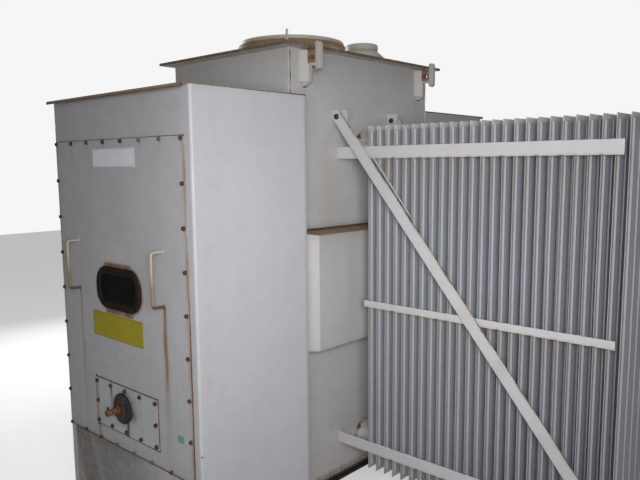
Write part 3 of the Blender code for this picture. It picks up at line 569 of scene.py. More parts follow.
def make_cabinet_sides():
    """The side sheets, with the bend at the front corner finely divided."""
    half, radius, flange, back = 0.5, 0.011, 0.045, 0.03
    plan = [(half - flange, 0.0)] + arc(half - radius, radius, radius, 270.0, 360.0, 9)
    plan += [(half, y) for y in np.linspace(radius, DEPTH, 30)[1:-1]]
    plan += [(half, DEPTH - 0.002), (half - 0.002, DEPTH), (half - back, DEPTH)]
    plan += [(half - back, DEPTH - SHEET), (half - SHEET, DEPTH - SHEET)]
    plan += arc(half - radius, radius, radius - SHEET, 360.0, 270.0, 5) + [(half - flange, SHEET)]
    levels = steps(0.0, SHEET_TOP, 0.006)
    for word, side in SIDES:

        def rust(p):
            on_side = np.abs(p.x - half - side * half) < 0.0006
            value = 0.52 * near(p.z, 0.004, 0.035) + 0.3 * near(SHEET_TOP - p.z, 0.001, 0.006)
            value += 0.34 * near(DEPTH - p.y, 0.0005, 0.004) * on_side
            return value + (side > 0) * sum(spot(p, *row, axis=1) for row in SIDE_SPOTS)

        piece(
            f"cabinet_{word}_side_sheet",
            skin([[(half + side * u, v, w) for u, v in plan] for w in levels]),
            PAINT,
            node=f"cabinet_{word}_side",
            rust=rust,
            stain=lambda p: blobs(p.y, p.z, SIDE_STAINS) + 0.16 * near(p.z, 0.02, 0.12)
            + 0.1 * near(SHEET_TOP - p.z, 0.002, 0.02),
            grime=lambda p: blobs(p.y, p.z, SIDE_GRIME) + 0.35 * near(DEPTH - p.y, 0.002, 0.006),
        )


def front_rust_outline(p):
    """Rust that has crept out along the cover's edge, on the sheets behind it."""
    beside = (p.z < COVER_T) * 1.0
    value = 0.42 * near(np.abs(p.x - COVER_R), 0.0015, 0.004) * beside * (p.z > COVER_B - 0.01)
    value += 0.8 * near(np.abs(p.z - COVER_B), 0.003, 0.005)
    value += 0.4 * near(np.abs(p.z - COVER_T), 0.001, 0.003)
    return value + 0.3 * near(np.abs(p.x - COVER_L), 0.001, 0.003) * beside * (p.z > COVER_B)


def skirt_grime(p):
    leaned = p.x + 0.35 * (p.z - COVER_B)
    value = 0.38 * near(leaned - 0.16, 0.0, 0.04) * near(0.04 - leaned, 0.0, 0.03)
    value += 0.34 * near(leaned - 0.52, 0.0, 0.25) * near(0.24 - leaned, 0.0, 0.05)
    # Painted shade: darker under the cover's lower edge, towards the left end and at the foot
    value += 0.18 * near(COVER_B - p.z, 0.01, 0.05) * (p.x < 0.6)
    value += 0.52 * np.clip((0.8 - p.x) / 0.6, 0.0, 1.0)
    return value + 0.2 * near(p.z, 0.01, 0.08)


def make_cabinet_sheets():
    cells = (0.006, 0.004, 0.006)
    piece(
        "cabinet_fascia_sheet",
        box((0.0453, 0.0, 1.694), (0.9547, SHEET, SHEET_TOP), 0.0004, cells),
        FRONT_PAINT,
        node="cabinet_fascia",
        rust=lambda p: front_rust_outline(p) + 0.38 * near(SHEET_TOP - p.z, 0.001, 0.004),
        stain=lambda p: 0.25 * near(SHEET_TOP - p.z, 0.002, 0.02),
    )
    piece(
        "cabinet_skirt_sheet",
        box((0.0453, 0.0, 0.0), (0.9547, SHEET, 0.454), 0.0004, cells),
        FRONT_PAINT,
        node="cabinet_skirt",
        rust=lambda p: front_rust_outline(p) + 0.6 * near(p.z, 0.004, 0.03),
        stain=lambda p: sum(streak(p, *row, lean=0.1) for row in SKIRT_RUNS)
        + 0.22 * near(p.z, 0.02, 0.12),
        grime=skirt_grime,
    )
    piece(
        "cabinet_back_sheet",
        box((0.0303, DEPTH - SHEET, 0.0), (0.9697, DEPTH, SHEET_TOP), 0.0004, (0.02, 0.004, 0.02)),
        PAINT,
        node="cabinet_back",
        rust=lambda p: 0.6 * near(p.z, 0.004, 0.04),
        stain=lambda p: 0.3 * near(p.z, 0.05, 0.2),
        grime=lambda p: 0.2 * near(SHEET_TOP - p.z, 0.1, 0.3),
    )


def make_roof(node, front, rear, left, right):
    """A roof sheet with a folded front lip: a small bend instead of a sharp corner. Its lip is
    dirty with a rusted lower edge, and thin rust runs along its other edges."""
    way = 1.0 if rear > front else -1.0
    radius = 0.003
    section = [(front, ROOF_TOP - drop) for drop in (LIP, LIP - 0.0025, LIP - 0.0045, radius)]
    for u, z in arc(0.0, ROOF_TOP - radius, radius, 150.0, 90.0, 3):
        section.append((front + way * (radius + u), z))
    section += [(y, ROOF_TOP) for y in np.linspace(front + way * radius, rear, 26)[1:]]
    inner = front + way * SHEET
    section += [(rear, ROOF_TOP - SHEET), (inner, ROOF_TOP - SHEET), (inner, ROOF_TOP - LIP)]

    def on_lip(p):
        return near(np.abs(p.y - front), 0.0012, 0.003)

    def end_distance(p):
        return np.minimum(p.x - left, right - p.x)

    def rust(p):
        value = on_lip(p) * (0.55 * near(p.z - ROOF_TOP + LIP, 0.0015, 0.002) + 0.12)
        value += 0.34 * near(end_distance(p), 0.0008, 0.003)
        return value + 0.3 * near(np.abs(p.y - rear), 0.002, 0.006)

    def stain(p):
        value = 0.42 * on_lip(p) + 0.2 * near(np.abs(p.y - front), 0.004, 0.05)
        return value + 0.3 * near(end_distance(p), 0.002, 0.02) + 0.12 * (p.up > 0.5)

    def grime(p):
        cloud = 0.6 + 0.4 * np.sin((p.x + SHIFT[0]) * 9.0) * np.cos((p.y + SHIFT[1]) * 7.0)
        return 0.8 * on_lip(p) + 0.22 * (p.up > 0.5) * cloud

    shape = skin([[(x, y, z) for y, z in section] for x in steps(left, right, 0.02)])
    piece(node + "_sheet", shape, PALE_PAINT, slot="paint", node=node, rust=rust, stain=stain,
          grime=grime)


# Cover panel with its window, plates, handles and bolts

BOLT_XS, BOLT_ZS = np.linspace(0.0244, 0.948, 8), np.linspace(1.713, 0.432, 9)
# The bolts of the top and bottom rows, counted from the left, that have no rust yet
GREY_BOLTS = (5, 6, 8 + 3, 8 + 4, 8 + 5)
HANDLE_XS, HANDLE_FOOT, HANDLE_TOP = (0.1705, 0.8065), 1.0885, 1.2975
# The window's middle, half width, half height and corner radius
WINDOW_X, WINDOW_Z = 0.4885, 1.116
WINDOW_FORM = np.array((0.165, 0.089, 0.078))
# The operator plate's middle and half size, and its bolts
OP_X, OP_Z, OP_HALF_X, OP_HALF_Z = 0.5055, 0.6, 0.2375, 0.106
OP_XS = [OP_X - 0.2205 + 0.11025 * k for k in range(5)]
OP_BOLTS = [(x, OP_Z + 0.089) for x in OP_XS] + [(x, OP_Z - 0.089) for x in OP_XS]
OP_BOLTS += [(OP_X - 0.2205, OP_Z), (OP_X + 0.2205, OP_Z)]
# Place, top, length, width, strength and how fast the run fades
COVER_RUNS = (
    (0.1705, 1.09, 0.6, 0.012, 0.8, 0.8),
    (0.8065, 1.09, 0.66, 0.015, 0.86, 0.8),
    (0.8065, 1.09, 0.34, 0.0105, 0.5, 0.4),
    (0.815, 0.98, 0.55, 0.028, 0.22),
    (0.18, 0.85, 0.42, 0.02, 0.28),
    (0.862, 0.8, 0.37, 0.01, 0.18),
    (0.906, 0.66, 0.22, 0.008, 0.16),
    (OP_X - 0.229, OP_Z - 0.09, 0.14, 0.01, 1.05, 0.4),
)
COVER_GRIME = (
    (0.215, 1.075, 0.012, 0.02, 0.18),
    (0.44, 0.6, 0.02, 0.03, 0.16),
    (0.1, 1.06, 0.016, 0.03, 0.14),
    (0.09, 0.52, 0.06, 0.1, 0.12),
    (0.3, 0.48, 0.12, 0.05, 0.1),
)
OP_RUNS = (
    (*OP_BOLTS[3], 0.17, 0.004, 0.62, 0.4),
    (*OP_BOLTS[1], 0.11, 0.011, 1.1, 0.5),
    (OP_BOLTS[0][0] - 0.004, OP_BOLTS[0][1], 0.22, 0.009, 0.95, 0.2),
    (OP_X + 0.012, 0.58, 0.1, 0.017, 1.1, 0.3),
)


def frame_places(xs, zs):
    """Places along a frame: its top row, its bottom row, then both sides downward."""
    places = [(x, z) for z in (zs[0], zs[-1]) for x in xs]
    return places + [(x, z) for z in zs[1:-1] for x in (xs[0], xs[-1])]


COVER_BOLTS = frame_places(BOLT_XS, BOLT_ZS)


def share(index, salt):
    """A repeatable share from 0 to 1."""
    return 0.5 + 0.5 * wobble(index, salt)


def window_distance(p):
    """Distance outside the window's rounded outline."""
    half_x, half_z, radius = WINDOW_FORM
    dx = np.maximum(np.abs(p.x - WINDOW_X) - (half_x - radius), 0.0)
    dz = np.maximum(np.abs(p.z - WINDOW_Z) - (half_z - radius), 0.0)
    return np.hypot(dx, dz) - radius


def inside(p, x0, x1, z0, z1, soft=0.003):
    dx = np.maximum(np.maximum(x0 - p.x, p.x - x1), 0.0)
    dz = np.maximum(np.maximum(z0 - p.z, p.z - z1), 0.0)
    return near(np.hypot(dx, dz), 0.0, soft)


def tape(p):
    """Old tape above and below the window."""
    return inside(p, 0.381, 0.583, 1.2, 1.222) + inside(p, 0.377, 0.585, 1.008, 1.03)


def below(p):
    """0 on the upper part of the cover, 1 on the lower."""
    return np.clip((1.25 - p.z) / 0.3, 0.0, 1.0)


def cover_rust(p):
    value = (0.34 + 0.22 * below(p)) * near(COVER_R - p.x, 0.001, 0.004)
    value += 0.92 * near(p.z - COVER_B, 0.003, 0.004)
    value += 0.54 * near(COVER_T - p.z, 0.001, 0.003)
    value += 0.42 * near(p.x - COVER_L, 0.001, 0.003)
    for k, (x, z) in enumerate(COVER_BOLTS):
        s = share(k, 1.0)
        value += spot(p, x, z - 0.003, 0.0085, 0.1 + 0.32 * s)
        value += streak(p, x, z - 0.006, 0.02 + 0.022 * s, 0.003, 0.3 + 0.38 * s)
    for x, s in zip(HANDLE_XS, (0.46, 0.62)):
        value += streak(p, x, 1.084, 0.08, 0.0055, s)
        value += spot(p, x, 1.086, 0.009, 0.5) + spot(p, x, 1.298, 0.006, 0.4)
    beside, over = np.abs(p.x - OP_X) - OP_HALF_X, np.abs(p.z - OP_Z) - OP_HALF_Z
    value += 0.5 * near(np.abs(np.maximum(beside, over)), 0.0012, 0.004)
    value += 0.42 * near(np.abs(p.x - OP_X + OP_HALF_X), 0.003, 0.005) * (over < 0.01)
    value += 0.34 * near(np.abs(p.z - OP_Z + OP_HALF_Z), 0.002, 0.004) * (beside < 0.0)
    value += streak(p, OP_X - 0.229, OP_Z - 0.1, 0.06, 0.006, 0.42) + 0.22 * tape(p)
    return value + spot(p, 0.585, 0.845, 0.004, 0.7) + spot(p, 0.11, 0.93, 0.004, 0.6)


def cover_stain(p):
    value = sum(streak(p, *row) for row in COVER_RUNS)
    for k, (x, z) in enumerate(COVER_BOLTS):
        s = share(k, 3.0)
        value += streak(p, x, z, 0.06 + 0.1 * s, 0.0055, 0.2 + 0.44 * s)
    for k, (x, z) in enumerate(OP_BOLTS):
        if z < 0.55:
            value += streak(p, x, z, 0.09, 0.006, 0.34 + 0.2 * wobble(k, 2.0))
    value += (0.5 + 0.35 * np.sin(p.z * 9.0) ** 2) * near(COVER_R - p.x, 0.004, 0.012)
    value += (0.3 + 0.3 * below(p)) * near(p.z - COVER_B, 0.004, 0.012)
    value += 0.95 * tape(p)
    # Rust that has bled round the window's rubber
    halo = window_distance(p)
    value += 0.95 * near(halo, 0.004, 0.008) * (0.7 + 0.3 * np.sin(p.x * 41.0 + p.z * 23.0))
    return value + 0.35 * near(halo, 0.008, 0.01) * (p.x > 0.52) * (p.z < 1.1)


def make_cover():
    piece(
        "cover_panel_sheet",
        box((COVER_L, FRONT_FACE, COVER_B), (COVER_R, -0.0003, COVER_T), 0.0007,
            (0.006, 0.004, 0.006)),
        FRONT_PAINT,
        node="cover_panel",
        rust=cover_rust,
        stain=cover_stain,
        grime=lambda p: blobs(p.x, p.z, COVER_GRIME) + 0.35 * near(window_distance(p), 0.002, 0.004)
        + 0.12 * near(p.x - COVER_L, 0.004, 0.04) + 0.14 * near(p.z - COVER_B, 0.01, 0.06),
        chalk=lambda p: 0.12 * inside(p, 0.409, 0.544, 1.234, 1.309, 0.004),
    )
    rusted, grey = [], []
    for k, (x, z) in enumerate(COVER_BOLTS):
        across = 0.0138 + 0.0006 * wobble(k, 4.0)
        bolt = hex_bolt((x, FRONT_FACE, z), (0, -1, 0), across, 0.0065, wobble(k) * 0.6)
        (grey if k in GREY_BOLTS else rusted).append(bolt)
    piece("cover_bolts", join(rusted), BOLT_RUST, 30.0)
    piece("cover_grey_bolts", join(grey), GREY_STEEL, 30.0)


def window_ring(margin, y):
    """The window's rounded outline, inwards by margin."""
    half_x, half_z, radius = WINDOW_FORM - margin
    ring = []
    for quarter, (sx, sz) in enumerate(((1, 1), (-1, 1), (-1, -1), (1, -1))):
        x, z = WINDOW_X + sx * (half_x - radius), WINDOW_Z + sz * (half_z - radius)
        ring += arc(x, z, radius, 90.0 * quarter, 90.0 * quarter + 90.0, 14)
    return [(x, y, z) for x, z in ring]


def make_window():
    back, face = BACK_FACE, BACK_FACE - 0.011
    section = (
        (0.0, back),
        (0.0, back - 0.005),
        (0.0012, back - 0.0085),
        (0.0045, face + 0.0006),
        (0.0085, face),
        (0.013, face + 0.0008),
        (0.015, face + 0.003),
        (0.017, face + 0.003),
        (0.0195, face + 0.0012),
        (0.024, face + 0.001),
        (0.0285, face + 0.003),
        (0.0308, face + 0.006),
        (0.031, back - 0.001),
        (0.031, back),
    )
    seal = skin([window_ring(*row) for row in section], "loop")
    piece("window_rubber_seal", seal, RUBBER, 60.0, node="window_gasket")
    pane = skin([window_ring(0.0313, back), window_ring(0.0313, back - 0.005)])
    piece("window_pane", pane, GLASS, 30.0, node="window_glass")


def make_front_plates():
    for node, material in (("tag_plate", WHITE), ("notice_plate", YELLOW)):
        low, high = span(node)

        def edge(p):
            return 0.6 * near(rim_distance(p.x, p.z, low, high), 0.0005, 0.003)

        shape = box(low, high, 0.0006, (0.008, 0.002, 0.008))
        piece(node + "_face", shape, material, 40.0, node=node, grime=edge)
    # A bare square of blue-green tape that shows beside the operator plate
    low, high = (0.862, BACK_FACE, 0.57), (0.901, FRONT_FACE, 0.6)
    piece("cover_tape_mark", box(low, high, 0.0001, (0.006, 0.002, 0.006)), MARK, 40.0)


def handle_route(x):
    foot, outside, bend = BACK_FACE, FRONT_FACE - 0.0503, 0.012
    reach, low, high = foot - outside - bend, HANDLE_FOOT, HANDLE_TOP
    route = [(foot - reach * t, high) for t in (0.0, 0.3, 0.6, 0.9)]
    route += arc(outside + bend, high - bend, bend, 90.0, 180.0, 7)
    straight = high - low - 2 * bend
    route += [(outside, high - bend - straight * t) for t in np.linspace(0, 1, 14)[1:-1]]
    route += arc(outside + bend, low + bend, bend, 180.0, 270.0, 7)
    route += [(outside + bend + reach * t, low) for t in (0.1, 0.4, 0.7, 1.0)]
    return [(x, y, z) for y, z in route]


def handle_rust(p):
    value = 0.04 + 0.24 * np.clip((1.2 - p.z) / 0.1, 0.0, 1.0) + 0.24 * (p.z < 1.1)
    value += 0.2 * near(np.abs(p.y - FRONT_FACE), 0.004, 0.01)
    return value + 0.1 * (p.up > 0.3) * (p.z > 1.28)


def make_handles():
    def stain(p):
        return 0.14 + 0.76 * np.clip((1.235 - p.z) / 0.08, 0.0, 1.0)

    weld = [(0.0055, 0.0035), (0.0066, 0.0022), (0.0078, 0.001), (0.0082, 0.0)]
    for word, x in zip(("left", "right"), HANDLE_XS):
        node = f"handle_{word}"
        piece(node + "_rod", rod(handle_route(x), 0.0055), HANDLE_PAINT, 50.0, node=node,
              rust=handle_rust, stain=stain)
        feet = [(x, FRONT_FACE, z) for z in (HANDLE_FOOT, HANDLE_TOP)]
        piece(node + "_welds", join([lathe(weld, 16, foot, (0, -1, 0)) for foot in feet]),
              HANDLE_PAINT, 60.0, rust=lambda p: 0.08 + 0.4 * (p.z < 1.2), stain=stain)


def operator_plate_rust(p):
    left, bottom = p.x - OP_X + OP_HALF_X, p.z - OP_Z + OP_HALF_Z
    beside, over = OP_HALF_X - np.abs(p.x - OP_X), OP_HALF_Z - np.abs(p.z - OP_Z)
    value = 0.52 * near(np.minimum(beside, over), 0.0008, 0.0035)
    value += 0.22 * near(left, 0.004, 0.006) + 0.34 * near(bottom, 0.002, 0.004)
    for k, (x, z) in enumerate(OP_BOLTS):
        s = share(k, 5.0)
        value += spot(p, x, z - 0.003, 0.01, 0.12 + 0.28 * s)
        value += streak(p, x, z - 0.006, 0.02 + 0.02 * s, 0.0035, 0.26 + 0.3 * s)
    value += streak(p, *OP_BOLTS[1], 0.06, 0.006, 0.46)
    value += streak(p, OP_X + 0.012, 0.565, 0.08, 0.01, 0.62, 0.25)
    return value + spot(p, OP_X, 0.61, 0.04, 0.3) + spot(p, OP_X + 0.052, 0.598, 0.016, 0.3)


def operator_plate_stain(p):
    value = sum(streak(p, *row) for row in OP_RUNS) + spot(p, OP_X - 0.04, 0.59, 0.05, 0.25)
    return value + 0.25 * near(OP_HALF_X - np.abs(p.x - OP_X), 0.002, 0.006)


def make_operator_plate():
    low, high = span("operator_plate")
    piece(
        "operator_plate_sheet",
        box(low, high, 0.0007, (0.004, 0.004, 0.004)),
        OPERATOR_PAINT,
        node="operator_plate",
        rust=operator_plate_rust,
        stain=operator_plate_stain,
        grime=lambda p: spot(p, OP_X + 0.01, 0.612, 0.07, 0.3)
        + spot(p, OP_X + 0.055, 0.592, 0.022, 0.5),
    )
    bolts = [
        hex_bolt((x, low[1], z), (0, -1, 0), 0.0148, 0.0068, wobble(k, 6.0))
        for k, (x, z) in enumerate(OP_BOLTS)
    ]
    piece("operator_plate_bolts", join(bolts), BOLT_RUST, 30.0)


# Operator knob: heights are in front of the operator plate

KNOB_X, KNOB_Z = 0.5053, 0.618
KNOB_BACK, KNOB_RIM, KNOB_FACE = 0.01, 0.02, 0.034
KNOB_RADIUS, FACE_RADIUS, MILLING = 0.065, 0.036, 0.0018
KNOB_DISC = [
    (0.0585, KNOB_BACK),
    (0.064, KNOB_BACK),
    (KNOB_RADIUS, KNOB_BACK + 0.0015, MILLING),
    (KNOB_RADIUS, KNOB_RIM - 0.0015, MILLING),
    (0.0635, KNOB_RIM, MILLING * 0.6),
    *(
        (KNOB_RADIUS + (FACE_RADIUS - KNOB_RADIUS) * t, KNOB_RIM + (KNOB_FACE - KNOB_RIM) * t)
        for t in np.linspace(0.12, 0.94, 6)
    ),
    (0.0365, KNOB_FACE),
    (0.0345, KNOB_FACE),
    (0.0335, KNOB_FACE - 0.003),
]
FACE = [(0.0, KNOB_FACE - 0.001), (0.033, KNOB_FACE - 0.001), (0.034, KNOB_FACE - 0.002),
        (0.034, KNOB_FACE - 0.004), (0.0, KNOB_FACE - 0.004)]
HUB = [(0.0, 0.048), (0.0205, 0.048), (0.0232, 0.0462), (0.024, 0.044), (0.024, 0.038),
       (0.0225, 0.0365), (0.0225, KNOB_FACE - 0.002), (0.0, KNOB_FACE - 0.002)]
NECK = [(0.0, 0.0115), (0.013, 0.0115), (0.013, 0.0003), (0.0, 0.0003)]
SPINDLE = [(0.0, 0.09), (0.0105, 0.09), (0.0128, 0.088), (0.013, 0.08), (0.013, 0.064),
           (0.0122, 0.063), (0.0122, 0.06), (0.013, 0.059), (0.013, 0.047), (0.0, 0.047)]
PIN = [(0.0, 0.025), (0.0036, 0.025), (0.0045, 0.0238), (0.0045, 0.0), (0.0, 0.0)]


def make_knob():
    """The black conical disc, its rusted face, hub, three screws, spindle and cross pin."""
    middle = (KNOB_X, span("operator_plate")[0][1], KNOB_Z)
    # Rounded as the vertices are, so that the ticks fall on the same ones
    centre = np.array(Vector(SHIFT + middle)) - SHIFT
    axis = (0, -1, 0)
    ride = {"node": "operator_knob", "body": "operator"}

    def ticks(p):
        """Worn pale marks cut into the cone, one every 15 degrees."""
        dx, dz, height = p.x - centre[0], p.z - centre[2], centre[1] - p.y
        turn = np.degrees(np.arctan2(dz, dx)) / 15.0
        close = np.abs(turn - np.round(turn)) < 0.1
        on_cone = (height > KNOB_RIM + 0.001) & (height < KNOB_RIM + 0.009)
        return 0.16 * close * on_cone * (1.0 + 0.8 * np.sign(dz - dx))

    def worn(p):
        return 0.16 + 0.34 * near(np.hypot(p.x - centre[0], p.z - centre[2]), 0.041, 0.005)

    disc = lathe(KNOB_DISC, 144, centre, axis, "caps")
    piece("operator_knob_disc", disc, KNOB_BLACK, 25.0, rust=worn, chalk=ticks, **ride)
    shapes = [lathe(FACE, 48, centre, axis), lathe(HUB, 48, centre, axis)]
    shapes.append(lathe(NECK, 24, centre, axis))
    for k in range(3):
        angle = math.radians(35.0 + 120.0 * k)
        out = (0.029 * math.cos(angle), -(KNOB_FACE - 0.0012), 0.029 * math.sin(angle))
        shapes.append(hex_bolt(centre + out, axis, 0.007, 0.003, k * 0.7, washer=False))
    piece("operator_knob_hub", join(shapes), RUST, **ride)
    piece("operator_knob_spindle", lathe(SPINDLE, 36, centre, axis), WORN_STEEL, **ride)
    pin = lathe(PIN, 20, centre + (0.0, -0.081, 0.0), (0, 0, 1))
    piece("operator_knob_pin", pin, DARK_BOLT, **ride)


# Tank

WALL, WALL_TOP, WALL_FOOT = 0.4025, 2.111, 0.11
MANHOLE_Y, TURRET_X, TURRET_Y = 1.036, 0.5058, 1.555


def beyond_wall(p, side):
    """Distance outside the tank's right or left wall."""
    return side * (p.x - MID) - WALL


def tank_rust(p):
    return 0.24 * near(WALL_TOP - p.z, 0.002, 0.01) + 0.45 * near(p.z - WALL_FOOT, 0.01, 0.08)


def tank_stain(p):
    value = 0.16 * near(WALL_TOP - p.z, 0.01, 0.05) + 0.22 * near(p.z - WALL_FOOT, 0.05, 0.35)
    band = near(np.abs(p.z - 1.5), 0.2, 0.15)
    value += 0.18 * np.exp(-(((p.y - 0.83) / 0.05) ** 2)) * band
    return value + sum(streak(p, y, 1.955, 0.28, 0.01, 0.22, axis=1) for y in (0.69, 1.555))


def tank_grime(p):
    value = 0.55 * near(np.abs(p.z - 1.332), 0.004, 0.02) * near(np.abs(p.y - 1.12), 0.5, 0.05)
    value += 0.12 * near(WALL_TOP - p.z, 0.03, 0.12)
    return value + blobs(p.y, p.z, ((0.9, 1.38, 0.1, 0.1, 0.1),))


def make_tank():
    marks = {"rust": tank_rust, "stain": tank_stain, "grime": tank_grime}
    for word, radius, cells in (
        ("front", 0.002, (0.02, 0.008, 0.02)),
        ("rear", 0.002, (0.02, 0.008, 0.02)),
        ("right", 0.0008, (0.008, 0.02, 0.02)),
        ("left", 0.0008, (0.008, 0.02, 0.02)),
    ):
        node = f"tank_{word}_wall"
        low, high = span(node)
        if word in ("right", "left"):
            side = dict(SIDES)[word]
            low[0], high[0] = sorted((MID + side * (WALL - 0.008), MID + side * WALL))
        piece(node + "_plate", box(low, high, radius, cells), TANK_PAINT, node=node, **marks)
    floor = box(*span("tank_floor"), 0.001, (0.03, 0.03, 0.01))
    piece("tank_floor_plate", floor, STEEL, node="tank_floor")
    shapes = []
    rear, front = span("tank_rear_wall")[0][1], span("tank_front_wall")[1][1]
    for side in (1, -1):
        for y, seed in ((front, 1.0), (rear, 3.0)):
            ends = [(MID + side * WALL, y, z) for z in (0.12, 2.1)]
            shapes.append(bead(ends, 0.0028, seed + side))
    piece(
        "tank_corner_welds",
        join(shapes),
        TANK_PAINT,
        60.0,
        rust=lambda p: 0.18 + 0.16 * np.sin(p.z * 37.0) ** 2 + 0.2 * (p.y < MIDDLE_Y),
        stain=0.12,
        # Painted highlight: the rear corner welds are lighter
        chalk=lambda p: 0.3 * (p.y > MIDDLE_Y),
    )


def make_lid():
    low, high = span("tank_lid")

    def edge(p):
        return rim_distance(p.x, p.y, low, high, 1)

    def from_manhole(p):
        return np.hypot(p.x - MID, p.y - MANHOLE_Y)

    def rust(p):
        value = 0.25 * near(edge(p), 0.0, 0.05)
        value += 0.6 * near(np.abs(from_manhole(p) - 0.27), 0.004, 0.012)
        turret = np.hypot(p.x - TURRET_X, p.y - TURRET_Y) - 0.125
        value += 0.5 * near(turret, 0.003, 0.012)
        return 0.5 * near(edge(p), 0.001, 0.004) + value * (p.up > 0.5)

    def stain(p):
        value = 0.35 * near(np.abs(from_manhole(p) - 0.28), 0.01, 0.05)
        return value + 0.35 * near(edge(p), 0.003, 0.03) + 0.15 * (p.up > 0.5)

    lid = box(low, high, 0.0015, (0.015, 0.015, 0.012))
    piece("tank_lid_plate", lid, PALE_PAINT, slot="paint", node="tank_lid", rust=rust, stain=stain,
          grime=lambda p: 0.25 * (p.up > 0.5))


def make_manhole():
    centre, up = (MID, MANHOLE_Y, 0.0), (0, 0, 1)
    z0, z1 = (corner[2] for corner in span("manhole_collar"))
    profile = [(0.25, z1), (0.256, z1), (0.269, z1 - 0.001), (0.27, z1 - 0.003)]
    profile += [(0.27, z1 - 0.003 - (z1 - z0 - 0.003) * t) for t in np.linspace(0.05, 0.95, 10)]
    profile += [(0.2704, z0 + 0.0005), (0.25, z0)]

    def turn(p):
        return np.arctan2(p.y - MANHOLE_Y, p.x - MID)

    def rust(p):
        lower = near(p.z - z0, 0.01 + 0.006 * np.sin(turn(p) * 7.0), 0.016)
        return 0.72 * lower + 0.18 * near(z1 - p.z, 0.002, 0.006)

    def stain(p):
        return 0.36 + 0.2 * np.sin(turn(p) * 9.0) + 0.35 * near(p.z - z0, 0.02, 0.03)

    def chalk(p):
        """What is left of the pale paint round the collar's upper half."""
        broken = 0.45 + 0.35 * np.sin(turn(p) * 5.0 + 0.7) + 0.2 * np.sin(turn(p) * 13.0)
        return 0.62 * broken * near(np.abs(p.z - (0.35 * z0 + 0.65 * z1)), 0.003, 0.006)

    piece(
        "manhole_collar_ring",
        lathe(profile, 128, centre, up, "loop"),
        COLLAR,
        node="manhole_collar",
        rust=rust,
        stain=stain,
        # Painted shade: a dark line round the collar's top, under the cover's rim
        grime=lambda p: 0.9 * near(z1 - p.z, 0.003, 0.004),
        chalk=chalk,
    )
    c0, c1 = (corner[2] for corner in span("manhole_cover"))
    profile = [
        (0.0, c1),
        (0.12, c1),
        (0.235, c1),
        (0.238, c1 - 0.0006),
        (0.242, c1 - 0.0006),
        (0.245, c1),
        (0.256, c1),
        (0.2595, c1 - 0.001),
        (0.261, c1 - 0.0035),
        (0.261, c0 + 0.003),
        (0.26, c0 + 0.0008),
        (0.256, c0),
        (0.0, c0),
    ]
    piece(
        "manhole_cover_plate",
        lathe(profile, 128, centre, up),
        PALE_PAINT,
        30.0,
        node="manhole_cover",
        rust=lambda p: 0.42 * near(p.z - c0, 0.001, 0.004),
        stain=lambda p: 0.1 + 0.3 * near(p.z - c0, 0.002, 0.006),
        grime=lambda p: 0.22 * (p.up > 0.5),
    )
    ring = [(x, y, z0 + 0.002) for x, y in arc(MID, MANHOLE_Y, 0.2715, 0.0, 360.0, 120)]
    piece("manhole_collar_weld", bead(ring, 0.0045, 9.0), RUST, 60.0)
    tab = box((0.914, 0.5525, 2.1234), (0.925, 0.5565, 2.168), 0.0012, (0.004, 0.004, 0.006))
    piece("lid_corner_tab", tab, PALE_PAINT, 40.0, stain=0.2,
          rust=lambda p: 0.35 * near(p.z - 2.123, 0.003, 0.012))


# Radius and height above the lid
TURRET = (
    (0.0, 0.155), (0.07, 0.155), (0.079, 0.1545), (0.084, 0.153), (0.088, 0.1505),
    (0.09, 0.146), (0.09, 0.126), (0.089, 0.1225), (0.087, 0.121), (0.0862, 0.119),
    (0.0875, 0.116), (0.094, 0.11), (0.106, 0.1), (0.118, 0.09), (0.1235, 0.084),
    (0.125, 0.078), (0.125, 0.06), (0.125, 0.04), (0.125, 0.02), (0.125, 0.004),
    (0.125, 0.0), (0.0, 0.0),
)


def make_turret():
    z = span("relief_turret")[0][2]
    piece(
        "relief_turret_dome",
        lathe(TURRET, 96, (TURRET_X, TURRET_Y, z), (0, 0, 1)),
        PALE_PAINT,
        40.0,
        node="relief_turret",
        rust=lambda p: 0.55 * near(p.z - z, 0.002, 0.012)
        + 0.35 * near(np.abs(p.z - z - 0.1195), 0.001, 0.004),
        stain=lambda p: 0.35 * near(np.abs(p.z - z - 0.115), 0.005, 0.01)
        + 0.3 * near(p.z - z, 0.01, 0.03),
        grime=lambda p: 0.2 * (p.up > 0.6),
    )


def make_lug(place_word, word, side, start):
    def on_web(p):
        out = beyond_wall(p, side)
        return (out > 0.036) & (out < 0.076) & (p.z > 2.045)

    def on_fold(p):
        out = beyond_wall(p, side)
        return (out > 0.0385) & (out < 0.0415)

    def rust(p):
        out = beyond_wall(p, side)
        value = 0.5 * on_web(p) * (0.8 + 0.2 * np.sin(p.z * 170.0 + (p.y - start) * 90.0))
        value += 0.12 * on_fold(p) + 0.52 * near(p.z - 1.948, 0.003, 0.008) * (out < 0.045)
        end = 0.42 * near(p.z - 2.014, 0.003, 0.01) + 0.2 * near(2.134 - p.z, 0.002, 0.006)
        return value + (out > 0.07) * (end + 0.1 * (np.sin(p.z * 130.0) > 0.72))

    def stain(p):
        return 0.95 * on_web(p) + 0.4 * on_fold(p) + 0.12 * (beyond_wall(p, side) > 0.07)

    node = f"lifting_lug_{place_word}_{word}"
    shape = copy_of(node, 0.0022, (0.006, 0.006, 0.006))
    piece(node + "_plate", shape, PALE_PAINT, node=node, rust=rust, stain=stain)


